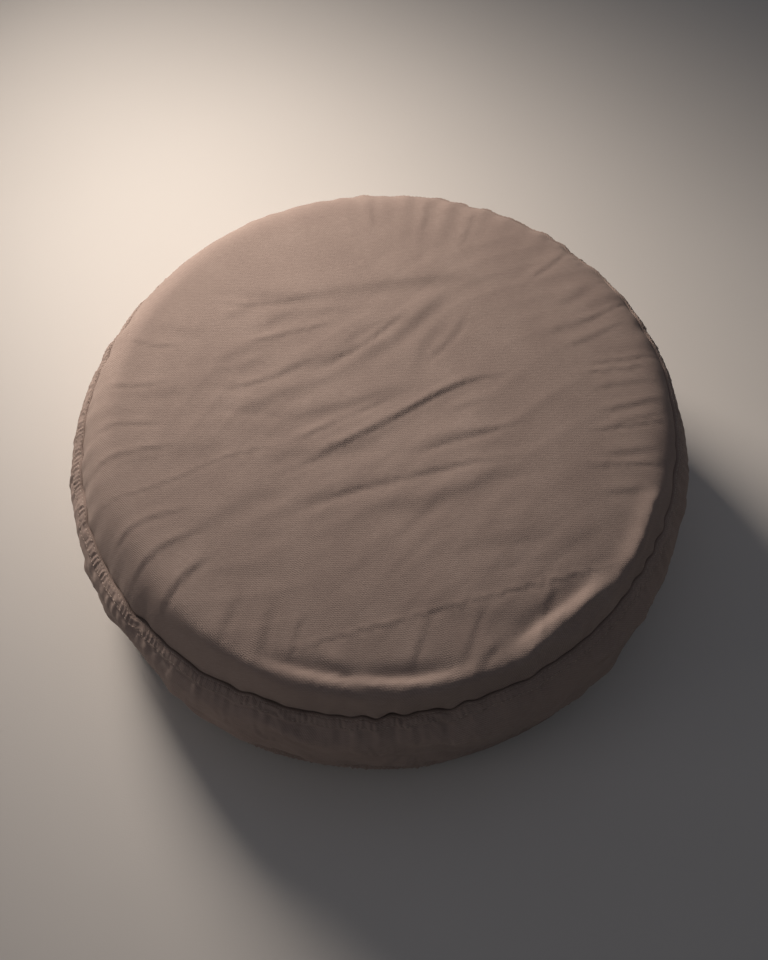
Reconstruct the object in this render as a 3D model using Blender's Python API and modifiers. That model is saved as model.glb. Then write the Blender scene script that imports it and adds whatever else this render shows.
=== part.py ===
"""Round boxed floor cushion: a zipped cotton cover over a foam core in a sewn case.

Metres, +Z up. The origin is the centre of the base, on the floor. The zip runs round
the back (+Y); the plain front of the side faces -Y. Run with
blender --background --python part.py
"""

import math

import bmesh
import bpy
from mathutils import Vector

# ---------------------------------------------------------------- driving sizes
cushion_diameter = 0.450  # at the widest ring of the filled cover
cushion_height = 0.145  # floor to the middle of the crown
bulge_lift = 0.005  # widest ring above the middle of the side
side_curve_radius = 0.165  # upright curve of the side
crown_rise = 0.014  # middle of the top above its own edge
shoulder_width = 0.019  # upper seam in to the edge of the crown
shoulder_rise = 0.017  # upper seam up to the edge of the crown
foot_width = 0.024  # lower seam in to the flat base
foot_rise = 0.016  # flat base up to the lower seam

cover_cloth = 0.0008  # cotton twill
case_cloth = 0.0005  # muslin
layer_gap = 0.0003  # between two layers that touch
seam_allowance = 0.008  # cloth turned in past a seam
cover_ease = 0.0050  # cover outside to case outside, at the side
wadding_thickness = 0.020

zip_half_angle = 75.0  # the zipped strips run this far each way from the back
zip_travel = 140.0  # degrees that the slider runs round the cushion
tape_thickness = 0.0006
tape_width = 0.0115
coil_radius = 0.0013
stop_length = 0.003

slider_length = 0.013
slider_plate = 0.001
slider_clearance = 0.00045  # plates to coils
slider_side_gap = 0.00055  # slider to the folded edges of the two strips
rail_width = 0.00085
rail_gap = 0.0006  # slider rails to tape
rail_inset = 0.0001  # rails in from the plates' edges
post_length = 0.003
post_thickness = 0.0006
post_clearance = 0.0003  # post to coils
bail_length = 0.0084
bail_wire = 0.0011
bail_width = 0.0020

pull_length = 0.0255
pull_width = 0.0072
pull_thickness = 0.0012
pull_clearance = 0.0004  # pull to the bail and the outer plate
pull_eye_side = 0.0015  # metal beside the eye
pull_eye_side_gap = 0.0006  # bail to the eye's sides
pull_eye_end_gap = 0.0014  # bail to the eye's far end
pull_hole_radius = 0.0014

thread_radius = 0.0003
first_stitch_row = 0.0015  # from a seam
second_stitch_row = 0.0075
label_width = 0.030
label_height = 0.025
label_thickness = 0.0003
label_bearing = 150.0  # degrees round from +X, near the open end of the zip
label_lap = 0.0035  # label behind the tape
label_gap = 0.00035  # tape to label

ring_facets = 48  # round the whole cushion
longest_row = 0.022  # upright facets that keep to the side's curve
zip_step = 3.75  # degrees; half of a ring facet
back = 90.0  # bearing of the middle of the zip

# ---------------------------------------------------------------- derived sizes
def upper_seam(crown):
    return crown - crown_rise - shoulder_rise


def lower_seam(base):
    return base + foot_rise


cover_radius = cushion_diameter / 2
side_middle = (upper_seam(cushion_height) + lower_seam(0.0)) / 2
bulge_height = side_middle + bulge_lift
zip_height = side_middle
ring_step = 360.0 / ring_facets
facet_sag = cover_radius * (1 - math.cos(math.radians(ring_step / 2)))
case_radius = cover_radius - cover_ease
case_base = cover_cloth + layer_gap
case_crown = cushion_height - cover_cloth - layer_gap
fill_inset = 2 * (case_cloth + layer_gap)  # clears the case and its turned-in edges
fill_radius = case_radius - fill_inset
fill_base = case_base + case_cloth + layer_gap
fill_crown = case_crown - case_cloth - layer_gap
closed_bearing = back - zip_travel / 2


def side_radius(widest, height):
    """Radius of a layer's side at a height, on an arc through its widest ring."""
    drop = height - bulge_height
    return widest - side_curve_radius + math.sqrt(side_curve_radius**2 - drop**2)


tape_widest = cover_radius - cover_cloth - layer_gap - facet_sag
tape_outside = side_radius(tape_widest, zip_height)
tape_middle = tape_outside - tape_thickness / 2
tape_inside = tape_outside - tape_thickness
coil_offset = post_thickness / 2 + post_clearance + coil_radius  # from the chain's middle
tape_edge = coil_offset + coil_radius + layer_gap
slider_width = 2 * (tape_edge + rail_width + rail_inset)
zip_opening = slider_width + 2 * slider_side_gap
bail_height = pull_thickness + 2 * pull_clearance + bail_wire
pull_eye_width = bail_width + 2 * pull_eye_side_gap
pull_eye_length = (bail_length - pull_thickness) / 2 + pull_eye_end_gap
pull_neck_width = pull_eye_width + 2 * pull_eye_side
outer_plate_inside = tape_middle + coil_radius + slider_clearance
outer_plate_outside = outer_plate_inside + slider_plate
inner_plate_outside = tape_middle - coil_radius - slider_clearance
inner_plate_inside = inner_plate_outside - slider_plate
pull_pivot = outer_plate_outside + (bail_height - bail_wire) / 2
degrees_per_metre = math.degrees(1 / tape_middle)
stop_bearing = zip_travel / 2 + (slider_length / 2 + layer_gap) * degrees_per_metre
coil_end = stop_bearing - layer_gap * degrees_per_metre


# ---------------------------------------------------------------- scene helpers
def clear_scene():
    for old in list(bpy.data.objects):
        bpy.data.objects.remove(old, do_unlink=True)


def new_collection(name):
    made = bpy.data.collections.new(name)
    bpy.context.scene.collection.children.link(made)
    return made


def new_material(name, colour, roughness, metallic=0.0):
    made = bpy.data.materials.new(name)
    made.use_nodes = True
    shader = made.node_tree.nodes["Principled BSDF"]
    shader.inputs["Base Color"].default_value = (*colour, 1.0)
    shader.inputs["Roughness"].default_value = roughness
    shader.inputs["Metallic"].default_value = metallic
    return made


def add_part(name, data, material, group):
    """A named object with its own material, in a collection."""
    made = bpy.data.objects.new(name, data)
    group.objects.link(made)
    data.materials.append(material)
    return made


def shade_round(mesh, angle=35.0):
    mesh.shade_smooth()
    mesh.set_sharp_from_angle(angle=math.radians(angle))


# ---------------------------------------------------------------- half sections
def ellipse_arc(centre_radius, centre_height, width, rise, first, last, count):
    """Points on an ellipse, with angles in degrees from straight out towards up."""
    points = []
    for i in range(count):
        angle = math.radians(first + (last - first) * i / (count - 1))
        points.append(
            (
                centre_radius + width * math.cos(angle),
                centre_height + rise * math.sin(angle),
            )
        )
    return points


def crown_section(widest, crown, rings=3, shoulder_points=5):
    """Middle of the top, out over the shoulder, to the upper seam."""
    seam_height = upper_seam(crown)
    edge = side_radius(widest, seam_height) - shoulder_width
    points = [
        (edge * i / rings, crown - crown_rise * (i / rings) ** 2) for i in range(rings)
    ]
    return points + ellipse_arc(
        edge, seam_height, shoulder_width, shoulder_rise, 90, 0, shoulder_points
    )


def side_section(widest, stops):
    """The side, down through the given heights, in rows short enough to follow its curve."""
    heights = []
    for high, low in zip(stops, stops[1:], strict=False):
        rows = math.ceil((high - low) / longest_row)
        heights += [high + (low - high) * i / rows for i in range(rows)]
    heights.append(stops[-1])
    return [(side_radius(widest, height), height) for height in heights]


def foot_section(widest, base, foot_points=4):
    """Lower seam, in under the foot, to the middle of the base."""
    seam_height = lower_seam(base)
    edge = side_radius(widest, seam_height) - foot_width
    points = ellipse_arc(edge, seam_height, foot_width, foot_rise, 0, -90, foot_points)
    return points + [(0.0, base)]


def turned_in_edge(widest, seam_height, cloth, direction):
    """The allowance that steps in behind the side cloth and runs along its back."""
    inset = cloth + layer_gap
    start = seam_height + direction * layer_gap
    end = seam_height + direction * seam_allowance
    return [
        (side_radius(widest, start) - inset, start),
        (side_radius(widest, end) - inset, end),
    ]


# ---------------------------------------------------------------- turned pieces
def turned(name, section, material, group, cloth=0.0, first=0.0, last=360.0, step=ring_step):
    """Turns a half section round Z, between two bearings, and thickens it if it is cloth."""
    mesh = bpy.data.meshes.new(name)
    points = [(radius, 0.0, height) for radius, height in section]
    edges = [(i, i + 1) for i in range(len(points) - 1)]
    mesh.from_pydata(points, edges, [])
    made = add_part(name, mesh, material, group)
    made.rotation_euler.z = math.radians(first)
    screw = made.modifiers.new("turn", "SCREW")
    screw.axis = "Z"
    screw.angle = math.radians(last - first)
    screw.steps = max(1, round((last - first) / step))
    screw.render_steps = screw.steps
    screw.use_merge_vertices = True
    screw.merge_threshold = 0.00005
    screw.use_smooth_shade = True
    if cloth:
        shell = made.modifiers.new("cloth", "SOLIDIFY")
        shell.thickness = cloth
        shell.offset = -1.0
        shell.use_even_offset = True
    return made


def round_strand(name, radius, height, thickness, first, last, material, group, sides=6):
    """A thread or coil that runs round the cushion at one radius and height."""
    curve = bpy.data.curves.new(name, "CURVE")
    curve.dimensions = "3D"
    curve.bevel_depth = thickness
    curve.bevel_resolution = sides // 2 - 2
    curve.use_fill_caps = True
    whole_turn = last - first >= 360.0
    steps = ring_facets if whole_turn else round((last - first) / zip_step)
    count = steps if whole_turn else steps + 1
    spline = curve.splines.new("POLY")
    spline.points.add(count - 1)
    for i, point in enumerate(spline.points):
        bearing = math.radians(first + (last - first) * i / steps)
        point.co = (radius * math.cos(bearing), radius * math.sin(bearing), height, 1.0)
    spline.use_cyclic_u = whole_turn
    return add_part(name, curve, material, group)


# ---------------------------------------------------------------- small hard pieces
def block(name, low, high, rounding, material, group, segments=2):
    """A box between two corners, with rounded edges, from a cube."""
    mesh = bpy.data.meshes.new(name)
    shape = bmesh.new()
    bmesh.ops.create_cube(shape, size=1.0)
    size = Vector(high) - Vector(low)
    bmesh.ops.scale(shape, vec=size, verts=shape.verts)
    bmesh.ops.translate(shape, vec=Vector(low) + size / 2, verts=shape.verts)
    if rounding:
        bmesh.ops.bevel(
            shape,
            geom=shape.edges[:],
            offset=rounding,
            segments=segments,
            profile=0.5,
            affect="EDGES",
        )
    shape.to_mesh(mesh)
    shape.free()
    shade_round(mesh)
    return add_part(name, mesh, material, group)


def rounded_rectangle(low, high, radius, corner_points=5):
    """Outline of a rectangle with round corners, anticlockwise, as (across, along) points."""
    corners = [
        (high[0] - radius, high[1] - radius, 0),
        (low[0] + radius, high[1] - radius, 90),
        (low[0] + radius, low[1] + radius, 180),
        (high[0] - radius, low[1] + radius, 270),
    ]
    points = []
    for across, along, first in corners:
        points += ellipse_arc(across, along, radius, radius, first, first + 90, corner_points)
    return points


def cut_out(name, outlines, thickness, material, group):
    """A flat plate from closed outlines, where an outline inside another is a hole."""
    curve = bpy.data.curves.new(name, "CURVE")
    curve.dimensions = "2D"
    curve.fill_mode = "BOTH"
    curve.extrude = thickness / 2
    for outline in outlines:
        spline = curve.splines.new("POLY")
        spline.points.add(len(outline) - 1)
        for point, (x, y) in zip(spline.points, outline, strict=True):
            point.co = (x, y, 0.0, 1.0)
        spline.use_cyclic_u = True
    return add_part(name, curve, material, group)


def as_mesh(shape, group):
    """Turns a curve object into a mesh object with its caps welded."""
    bpy.context.view_layer.update()
    graph = bpy.context.evaluated_depsgraph_get()
    mesh = bpy.data.meshes.new_from_object(shape.evaluated_get(graph))
    welded = bmesh.new()
    welded.from_mesh(mesh)
    bmesh.ops.remove_doubles(welded, verts=welded.verts, dist=0.000001)
    bmesh.ops.recalc_face_normals(welded, faces=welded.faces)
    welded.to_mesh(mesh)
    welded.free()
    name = shape.name
    placed = shape.matrix_world.copy()
    bpy.data.objects.remove(shape, do_unlink=True)
    made = bpy.data.objects.new(name, mesh)
    made.matrix_world = placed
    group.objects.link(made)
    return made


def join(target, piece):
    """Unites a helper piece with a target, and keeps the helper out of the render."""
    piece.hide_render = True
    piece.display_type = "WIRE"
    union = target.modifiers.new("join " + piece.name, "BOOLEAN")
    union.operation = "UNION"
    union.solver = "EXACT"
    union.object = piece


# ---------------------------------------------------------------- the cover
def build_cover(cotton, group):
    seam_top = upper_seam(cushion_height)
    seam_low = lower_seam(0.0)
    band_top = seam_top - cover_cloth - 2 * layer_gap
    band_low = seam_low + cover_cloth + 2 * layer_gap
    hem_top = seam_top - seam_allowance
    hem_low = seam_low + seam_allowance
    opening_top = zip_height + zip_opening / 2
    opening_low = zip_height - zip_opening / 2
    strip_first = back - zip_half_angle
    strip_last = back + zip_half_angle
    end_gap = layer_gap * degrees_per_metre

    top = crown_section(cover_radius, cushion_height)
    top += turned_in_edge(cover_radius, seam_top, cover_cloth, -1)
    turned("cover_top_panel", top, cotton, group, cover_cloth)

    low_edge = turned_in_edge(cover_radius, seam_low, cover_cloth, 1)
    low = list(reversed(low_edge)) + foot_section(cover_radius, 0.0)
    turned("cover_bottom_panel", low, cotton, group, cover_cloth)

    band = side_section(cover_radius, [band_top, hem_top, bulge_height, hem_low, band_low])
    turned(
        "cover_front_band", band, cotton, group, cover_cloth, strip_last, strip_first + 360
    )
    upper = side_section(cover_radius, [band_top, hem_top, opening_top])
    lower = side_section(cover_radius, [opening_low, hem_low, band_low])
    strips = {"cover_zip_strip_upper": upper, "cover_zip_strip_lower": lower}
    for name, section in strips.items():
        turned(
            name,
            section,
            cotton,
            group,
            cover_cloth,
            strip_first + end_gap,
            strip_last - end_gap,
        )


def build_stitch_rows(thread, group):
    """The two rows of topstitching that hold down each seam, and the row along each zip edge."""
    proud = layer_gap + thread_radius
    rows = {}
    for label, distance in (("first", first_stitch_row), ("second", second_stitch_row)):
        rows["top_seam_stitch_row_" + label] = upper_seam(cushion_height) - distance
        rows["bottom_seam_stitch_row_" + label] = lower_seam(0.0) + distance
    for name, height in rows.items():
        radius = side_radius(cover_radius, height) + proud
        round_strand(name, radius, height, thread_radius, 0.0, 360.0, thread, group, 4)
    row_half_angle = zip_half_angle - zip_step
    for label, side in (("upper", 1), ("lower", -1)):
        height = zip_height + side * (zip_opening / 2 + first_stitch_row)
        round_strand(
            f"zip_stitch_row_{label}",
            side_radius(cover_radius, height) + proud,
            height,
            thread_radius,
            back - row_half_angle,
            back + row_half_angle,
            thread,
            group,
            4,
        )


# ---------------------------------------------------------------- the zip
def build_chain(tape_material, coil_material, group):
    """Two tapes and two coils, side by side with a gap for the slider's post."""
    tape_half_angle = zip_half_angle + zip_step / 2
    for label, side in (("upper", 1), ("lower", -1)):
        edges = (side * tape_edge, side * (tape_edge + tape_width))
        section = side_section(
            tape_widest, [zip_height + edge for edge in sorted(edges, reverse=True)]
        )
        turned(
            f"zip_tape_{label}",
            section,
            tape_material,
            group,
            tape_thickness,
            back - tape_half_angle,
            back + tape_half_angle,
            zip_step,
        )
        round_strand(
            f"zip_coil_{label}",
            tape_middle,
            zip_height + side * coil_offset,
            coil_radius,
            back - coil_end,
            back + coil_end,
            coil_material,
            group,
        )


def build_stops(metal, group):
    """A pair of top stops at the closed end, and one bottom stop across the open end."""
    thick = coil_radius + layer_gap / 2
    gap = layer_gap / 2
    spans = {
        "zip_top_stop_upper": (gap, coil_offset + coil_radius, back - stop_bearing, -1),
        "zip_top_stop_lower": (-coil_offset - coil_radius, -gap, back - stop_bearing, -1),
        "zip_bottom_stop": (
            -coil_offset - coil_radius,
            coil_offset + coil_radius,
            back + stop_bearing,
            1,
        ),
    }
    for name, (low, high, bearing, side) in spans.items():
        along = sorted((side * layer_gap, side * (layer_gap + stop_length)))
        stop = block(
            name,
            (tape_middle - thick, along[0], low),
            (tape_middle + thick, along[1], high),
            0.0003,
            metal,
            group,
        )
        stop.location.z = zip_height
        stop.rotation_euler.z = math.radians(bearing)


def build_slider(metal, group, helpers):
    """Slider body: two plates with rails, the post that parts the coils, and the bail."""
    travel_axis = bpy.data.objects.new("zip_travel_axis", None)
    group.objects.link(travel_axis)
    travel_axis.location.z = zip_height
    travel_axis.rotation_euler.z = math.radians(closed_bearing)

    half_length = slider_length / 2
    half_width = slider_width / 2
    inset = rail_inset  # also keeps joined faces out of one plane
    overlap = 0.0002  # how far joined pieces reach into each other
    body = block(
        "zip_slider_body",
        (outer_plate_inside, -half_length, -half_width),
        (outer_plate_outside, half_length, half_width),
        0.0003,
        metal,
        group,
    )
    body.parent = travel_axis

    pieces = [
        block(
            "slider_inner_plate",
            (inner_plate_inside, -half_length + inset, -half_width),
            (inner_plate_outside, half_length - inset, half_width),
            0.0003,
            metal,
            helpers,
        ),
        block(
            "slider_post",
            (inner_plate_inside + overlap, -half_length + overlap, -post_thickness / 2),
            (
                outer_plate_outside - overlap,
                -half_length + overlap + post_length,
                post_thickness / 2,
            ),
            0.0,
            metal,
            helpers,
        ),
    ]
    rails = {
        "outer": (tape_outside + rail_gap, outer_plate_inside + overlap),
        "inner": (inner_plate_outside - overlap, tape_inside - rail_gap),
    }
    for label, (low, high) in rails.items():
        for side in (-1, 1):
            edges = sorted(
                (side * (half_width - inset), side * (half_width - inset - rail_width))
            )
            pieces.append(
                block(
                    f"slider_{label}_rail_{'upper' if side > 0 else 'lower'}",
                    (low, -half_length + 2 * inset, edges[0]),
                    (high, half_length - 2 * inset, edges[1]),
                    0.0,
                    metal,
                    helpers,
                )
            )

    top = outer_plate_outside + bail_height
    outside = rounded_rectangle(
        (outer_plate_inside + overlap, -bail_length / 2), (top, bail_length / 2), 0.0004
    )
    inside = rounded_rectangle(
        (outer_plate_outside - overlap, bail_wire - bail_length / 2),
        (top - bail_wire, bail_length / 2 - bail_wire),
        0.0003,
    )
    bail = cut_out("slider_bail", [outside, inside], bail_width, metal, helpers)
    pieces.append(as_mesh(bail, helpers))

    for piece in pieces:
        piece.parent = travel_axis
        join(body, piece)
    return travel_axis


def build_pull(metal, group, travel_axis):
    """Flat pull: an eye round the bail, a short neck and a rounded tab with a small hole."""
    pull_axis = bpy.data.objects.new("zip_pull_axis", None)
    group.objects.link(pull_axis)
    pull_axis.parent = travel_axis
    pull_axis.location.x = pull_pivot

    bar = pull_thickness / 2
    neck_end = bar + pull_eye_length + pull_thickness
    neck = pull_neck_width / 2
    tab = pull_width / 2
    outline = [(neck, -bar), (neck, neck_end), (tab, neck_end + 0.002)]
    outline += ellipse_arc(0.0, pull_length - tab, tab, tab, 0, 180, 13)
    outline += [(-tab, neck_end + 0.002), (-neck, neck_end), (-neck, -bar)]
    eye = rounded_rectangle(
        (-pull_eye_width / 2, bar), (pull_eye_width / 2, bar + pull_eye_length), 0.0004, 3
    )
    hole = ellipse_arc(
        0.0, pull_length - tab, pull_hole_radius, pull_hole_radius, 0, 345, 24
    )
    pull = cut_out("zip_pull_tab", [outline, eye, hole], pull_thickness, metal, group)
    # the outline's x runs up the cushion and its y runs round it
    pull.rotation_euler = (0.0, math.radians(-90), 0.0)
    pull.parent = pull_axis


# ---------------------------------------------------------------- inside the cover
def build_case(muslin, group):
    seam_top = upper_seam(case_crown)
    seam_low = lower_seam(case_base)
    edge = case_cloth + 2 * layer_gap
    top = crown_section(case_radius, case_crown, 2, 4)
    top += turned_in_edge(case_radius, seam_top, case_cloth, -1)
    turned("case_top_panel", top, muslin, group, case_cloth)
    hem_top = seam_top - seam_allowance
    hem_low = seam_low + seam_allowance
    band = side_section(
        case_radius, [seam_top - edge, hem_top, bulge_height, hem_low, seam_low + edge]
    )
    turned("case_side_band", band, muslin, group, case_cloth)
    low = list(reversed(turned_in_edge(case_radius, seam_low, case_cloth, 1)))
    low += foot_section(case_radius, case_base)
    turned("case_bottom_panel", low, muslin, group, case_cloth)


def build_fill(foam, wadding, group):
    """A foam disc between two domed layers of fibre wadding."""
    foam_top = fill_crown - crown_rise - wadding_thickness
    foam_low = fill_base + wadding_thickness
    core = [(0.0, foam_top)]
    core += side_section(fill_radius, [foam_top, bulge_height, foam_low])
    core += [(0.0, foam_low)]
    turned("foam_core", core, foam, group)

    upper = crown_section(fill_radius, fill_crown, 2, 4)
    upper += [
        (side_radius(fill_radius, foam_top + layer_gap), foam_top + layer_gap),
        (0.0, foam_top + layer_gap),
    ]
    turned("wadding_top", upper, wadding, group)

    lower = [
        (0.0, foam_low - layer_gap),
        (side_radius(fill_radius, foam_low - layer_gap), foam_low - layer_gap),
    ]
    lower += foot_section(fill_radius, fill_base)
    turned("wadding_bottom", lower, wadding, group)


def build_label(satin, group):
    """Blank care label, sewn behind the lower tape, seen when the zip is open."""
    outside = tape_inside - label_gap
    top = zip_height - tape_edge - tape_width + label_lap
    half = math.degrees(label_width / 2 / outside)
    section = side_section(outside, [top, top - label_height])
    turned(
        "care_label",
        section,
        satin,
        group,
        label_thickness,
        label_bearing - half,
        label_bearing + half,
        zip_step,
    )


def main():
    clear_scene()
    group = new_collection("round_floor_cushion")
    helpers = new_collection("helpers")
    cotton = new_material("taupe_cotton", (0.32, 0.25, 0.20), 0.85)
    muslin = new_material("white_muslin", (0.75, 0.72, 0.66), 0.9)
    foam = new_material("polyurethane_foam", (0.80, 0.74, 0.55), 0.95)
    wadding = new_material("polyester_wadding", (0.88, 0.88, 0.86), 0.95)
    thread = new_material("taupe_thread", (0.27, 0.21, 0.17), 0.7)
    tape = new_material("zip_tape_polyester", (0.29, 0.23, 0.19), 0.8)
    coil = new_material("zip_coil_nylon", (0.27, 0.21, 0.17), 0.45)
    metal = new_material("zip_nickel", (0.56, 0.55, 0.53), 0.3, 1.0)
    satin = new_material("label_satin", (0.85, 0.84, 0.80), 0.5)

    build_cover(cotton, group)
    build_stitch_rows(thread, group)
    build_chain(tape, coil, group)
    build_stops(metal, group)
    travel_axis = build_slider(metal, group, helpers)
    build_pull(metal, group, travel_axis)
    build_case(muslin, group)
    build_fill(foam, wadding, group)
    build_label(satin, group)


main()
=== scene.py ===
import math
import time

import bpy
import numpy as np
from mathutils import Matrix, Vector
from mathutils.geometry import delaunay_2d_cdt


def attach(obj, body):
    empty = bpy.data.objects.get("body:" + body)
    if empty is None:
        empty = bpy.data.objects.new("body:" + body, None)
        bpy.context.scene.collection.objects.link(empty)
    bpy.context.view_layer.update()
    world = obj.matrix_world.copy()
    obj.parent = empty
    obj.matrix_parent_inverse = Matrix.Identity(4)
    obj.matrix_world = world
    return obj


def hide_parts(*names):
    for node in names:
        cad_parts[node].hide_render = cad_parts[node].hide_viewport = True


# Round boxed floor cushion. Metres, +Z up, base on the floor, zip round the back (+Y).
# Bearings are in degrees from +X, anticlockwise seen from above.

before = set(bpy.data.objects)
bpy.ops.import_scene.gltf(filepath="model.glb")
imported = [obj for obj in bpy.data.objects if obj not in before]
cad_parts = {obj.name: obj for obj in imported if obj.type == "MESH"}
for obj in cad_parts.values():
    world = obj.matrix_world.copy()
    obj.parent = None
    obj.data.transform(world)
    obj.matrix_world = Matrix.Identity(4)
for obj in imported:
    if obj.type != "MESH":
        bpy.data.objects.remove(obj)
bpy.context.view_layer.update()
scene = bpy.context.scene
started = time.time()


def say(text):
    print(f"{time.time() - started:6.1f} s  {text}", flush=True)


# colours and nodes
def hexColour(code):
    channels = [int(code[i : i + 2], 16) / 255 for i in (1, 3, 5)]
    linear = [c / 12.92 if c <= 0.04045 else ((c + 0.055) / 1.055) ** 2.4 for c in channels]
    return (*linear, 1.0)


def addNode(tree, kind, inputs=None, **settings):
    node = tree.nodes.new(kind)
    for name, value in settings.items():
        setattr(node, name, value)
    for socket, value in (inputs or {}).items():
        if isinstance(value, bpy.types.NodeSocket):
            tree.links.new(value, node.inputs[socket])
        else:
            node.inputs[socket].default_value = value
    return node


def startMaterial(name, shader, viewColour):
    material = bpy.data.materials.new(name)
    material.use_nodes = True
    material.diffuse_color = hexColour(viewColour)
    tree = material.node_tree
    tree.nodes.clear()
    surface = addNode(tree, "ShaderNodeBsdfPrincipled", shader)
    addNode(tree, "ShaderNodeOutputMaterial", {"Surface": surface.outputs["BSDF"]})
    return material, tree, surface


def ramp(tree, factor, stops):
    node = addNode(tree, "ShaderNodeValToRGB", {"Fac": factor})
    elements = node.color_ramp.elements
    while len(elements) < len(stops):
        elements.new(0.5)
    for element, (place, code) in zip(elements, stops):
        element.position = place
        element.color = hexColour(code)
    return node.outputs["Color"]


def bandScale(period):
    return 2 * math.pi / (20 * period)  # Blender's straight bands repeat every 2 pi / (20 scale)


# geometry
def ease(x, low, high):
    x = np.clip((x - low) / (high - low), 0.0, 1.0)
    return x * x * (3 - 2 * x)


def unit(vectors):
    return vectors / np.maximum(np.linalg.norm(vectors, axis=-1, keepdims=True), 1e-12)


def lengthsAlong(line):
    return np.append(0.0, np.cumsum(np.linalg.norm(np.diff(line, axis=0), axis=1)))


def pickAt(line, places, wanted):
    # the line's values, known at those places, at the wanted ones
    return np.stack([np.interp(wanted, places, line[:, i]) for i in range(line.shape[1])], axis=-1)


# the view
viewpoint = {
    "target": (0.0, 0.0, 0.06),
    "distance": 1.05,
    "elevation": 59.52,
    "lens": 51.87,
    "shift": (0.0046, -0.0096),
}


def makeCamera():
    lift = math.radians(viewpoint["elevation"])
    target = Vector(viewpoint["target"])
    back = Vector((0.0, -math.cos(lift), math.sin(lift)))
    data = bpy.data.cameras.new("camera")
    data.lens = viewpoint["lens"]
    data.sensor_width = 36.0
    data.shift_x, data.shift_y = viewpoint["shift"]
    data.clip_start = 0.02
    data.clip_end = 20.0
    camera = bpy.data.objects.new("camera", data)
    camera.location = target + back * viewpoint["distance"]
    camera.rotation_euler = (-back).to_track_quat("-Z", "Y").to_euler()
    scene.collection.objects.link(camera)
    scene.camera = camera


# the filled cushion's form, which every layer follows
form = {
    "crown": 0.145,
    "crownFall": 0.10,  # drop over radius squared, across the middle of the crown
    "crownRound": 3.5,  # drop over radius to the fourth, further out
    "crownEdge": 0.186,  # where the crown turns down into the shoulder
    "corner": 0.0232,  # crown edge out to the corner of the shoulder curve
    "frontCorner": 0.0042,  # more of it at the front, where the shoulder is a ridge
    "leftCorner": -0.0050,  # less of it at the left, where the panel is drawn down flat
    "backCorner": -0.0028,
    "seamCentre": (-0.0024, 0.0038),
    "seamRadius": 0.2159,
    "seamHeight": 0.111,
    "seamSlope": (0.055, 0.043),  # the cover sits askew, its seam lower at the front and left
    "shoulderTightness": 1.6,
    "frontTightness": 5.0,
    "leftTightness": -0.7,
    "bulgeRadius": 0.2247,
    "bulgeHeight": 0.068,
    "footCentre": (-0.001, 0.002),
    "footRadius": 0.2150,
    "footHeight": 0.016,
    "footFlat": 0.191,
    "zipHeight": 0.065,
    "zipRadius": 0.225,
    "sideRound": 0.165,  # radius of the side's own curve by the zip, and its height
    "sideRoundHeight": 0.070,
    "meanRadius": 0.2215,  # of the side, to turn bearings into lengths of cloth
    "seamWave": 0.0006,
    "fullness": 0.0016,  # how far the side swells just below the upper seam
    "spareFullness": 0.0030,  # more of it at the left and front, where the side has cloth to spare
}


def ringWave(angle, seed, first, last):
    random = np.random.default_rng(seed)
    total = np.zeros_like(angle)
    for count in range(first, last):
        total += np.sin(count * angle + random.uniform(0, 2 * math.pi)) * random.uniform(0.4, 1.0)
    return total / math.sqrt(0.27 * (last - first))


def seamRing(angle):
    x = form["seamCentre"][0] + form["seamRadius"] * np.cos(angle)
    y = form["seamCentre"][1] + form["seamRadius"] * np.sin(angle)
    z = form["seamHeight"] + form["seamSlope"][0] * x + form["seamSlope"][1] * y
    z = z + form["seamWave"] * ringWave(angle, 3, 5, 60)
    radial = form["seamWave"] * ringWave(angle, 4, 6, 90)
    return x + radial * np.cos(angle), y + radial * np.sin(angle), z


def footRing(angle):
    x = form["footCentre"][0] + form["footRadius"] * np.cos(angle)
    y = form["footCentre"][1] + form["footRadius"] * np.sin(angle)
    z = form["footHeight"] + 0.4 * (form["seamSlope"][0] * x + form["seamSlope"][1] * y)
    z = z + 0.5 * form["seamWave"] * ringWave(angle, 5, 5, 60)
    radial = 0.6 * form["seamWave"] * ringWave(angle, 6, 6, 90)
    return x + radial * np.cos(angle), y + radial * np.sin(angle), z


def crownLine(angle, steps):
    # from the middle of the crown out over the shoulder and down to the upper seam, by length
    edge = form["crownEdge"]
    seamX, seamY, seamZ = seamRing(angle)
    centreX, centreY = form["seamCentre"]
    seamR = np.hypot(seamX - centreX, seamY - centreY)
    slope = -2 * form["crownFall"] * edge - 4 * form["crownRound"] * edge**3
    crownZ = form["crown"] - form["crownFall"] * edge**2 - form["crownRound"] * edge**4
    front = ease(0.5 + 0.5 * math.cos(angle - math.radians(282)), 0.70, 0.97)
    left = ease(0.5 + 0.5 * math.cos(angle - math.radians(192)), 0.62, 0.95)
    tight = form["shoulderTightness"] + form["frontTightness"] * front + form["leftTightness"] * left
    rear = ease(0.5 + 0.5 * math.cos(angle - math.radians(88)), 0.60, 0.95)
    corner = form["corner"] + form["frontCorner"] * front + form["leftCorner"] * left
    corner += form["backCorner"] * rear
    r = np.linspace(0.0, edge, 240)
    z = form["crown"] - form["crownFall"] * r**2 - form["crownRound"] * r**4
    u = np.linspace(0.0, 1.0, 160)[1:]
    weights = [(1 - u) ** 2, 2 * tight * u * (1 - u), u * u]
    total = sum(weights)
    cornerR = edge + corner
    cornerZ = crownZ + slope * corner
    r = np.append(r, (weights[0] * edge + weights[1] * cornerR + weights[2] * seamR) / total)
    z = np.append(z, (weights[0] * crownZ + weights[1] * cornerZ + weights[2] * seamZ) / total)
    line = np.stack([r, z], axis=1)
    length = lengthsAlong(line)
    r, z = pickAt(line, length, np.linspace(0.0, length[-1], steps)).T
    lean = ease(r, 0.10, seamR)
    points = [centreX * lean + r * math.cos(angle), centreY * lean + r * math.sin(angle), z]
    return np.stack(points, axis=1), length[-1]


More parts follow.
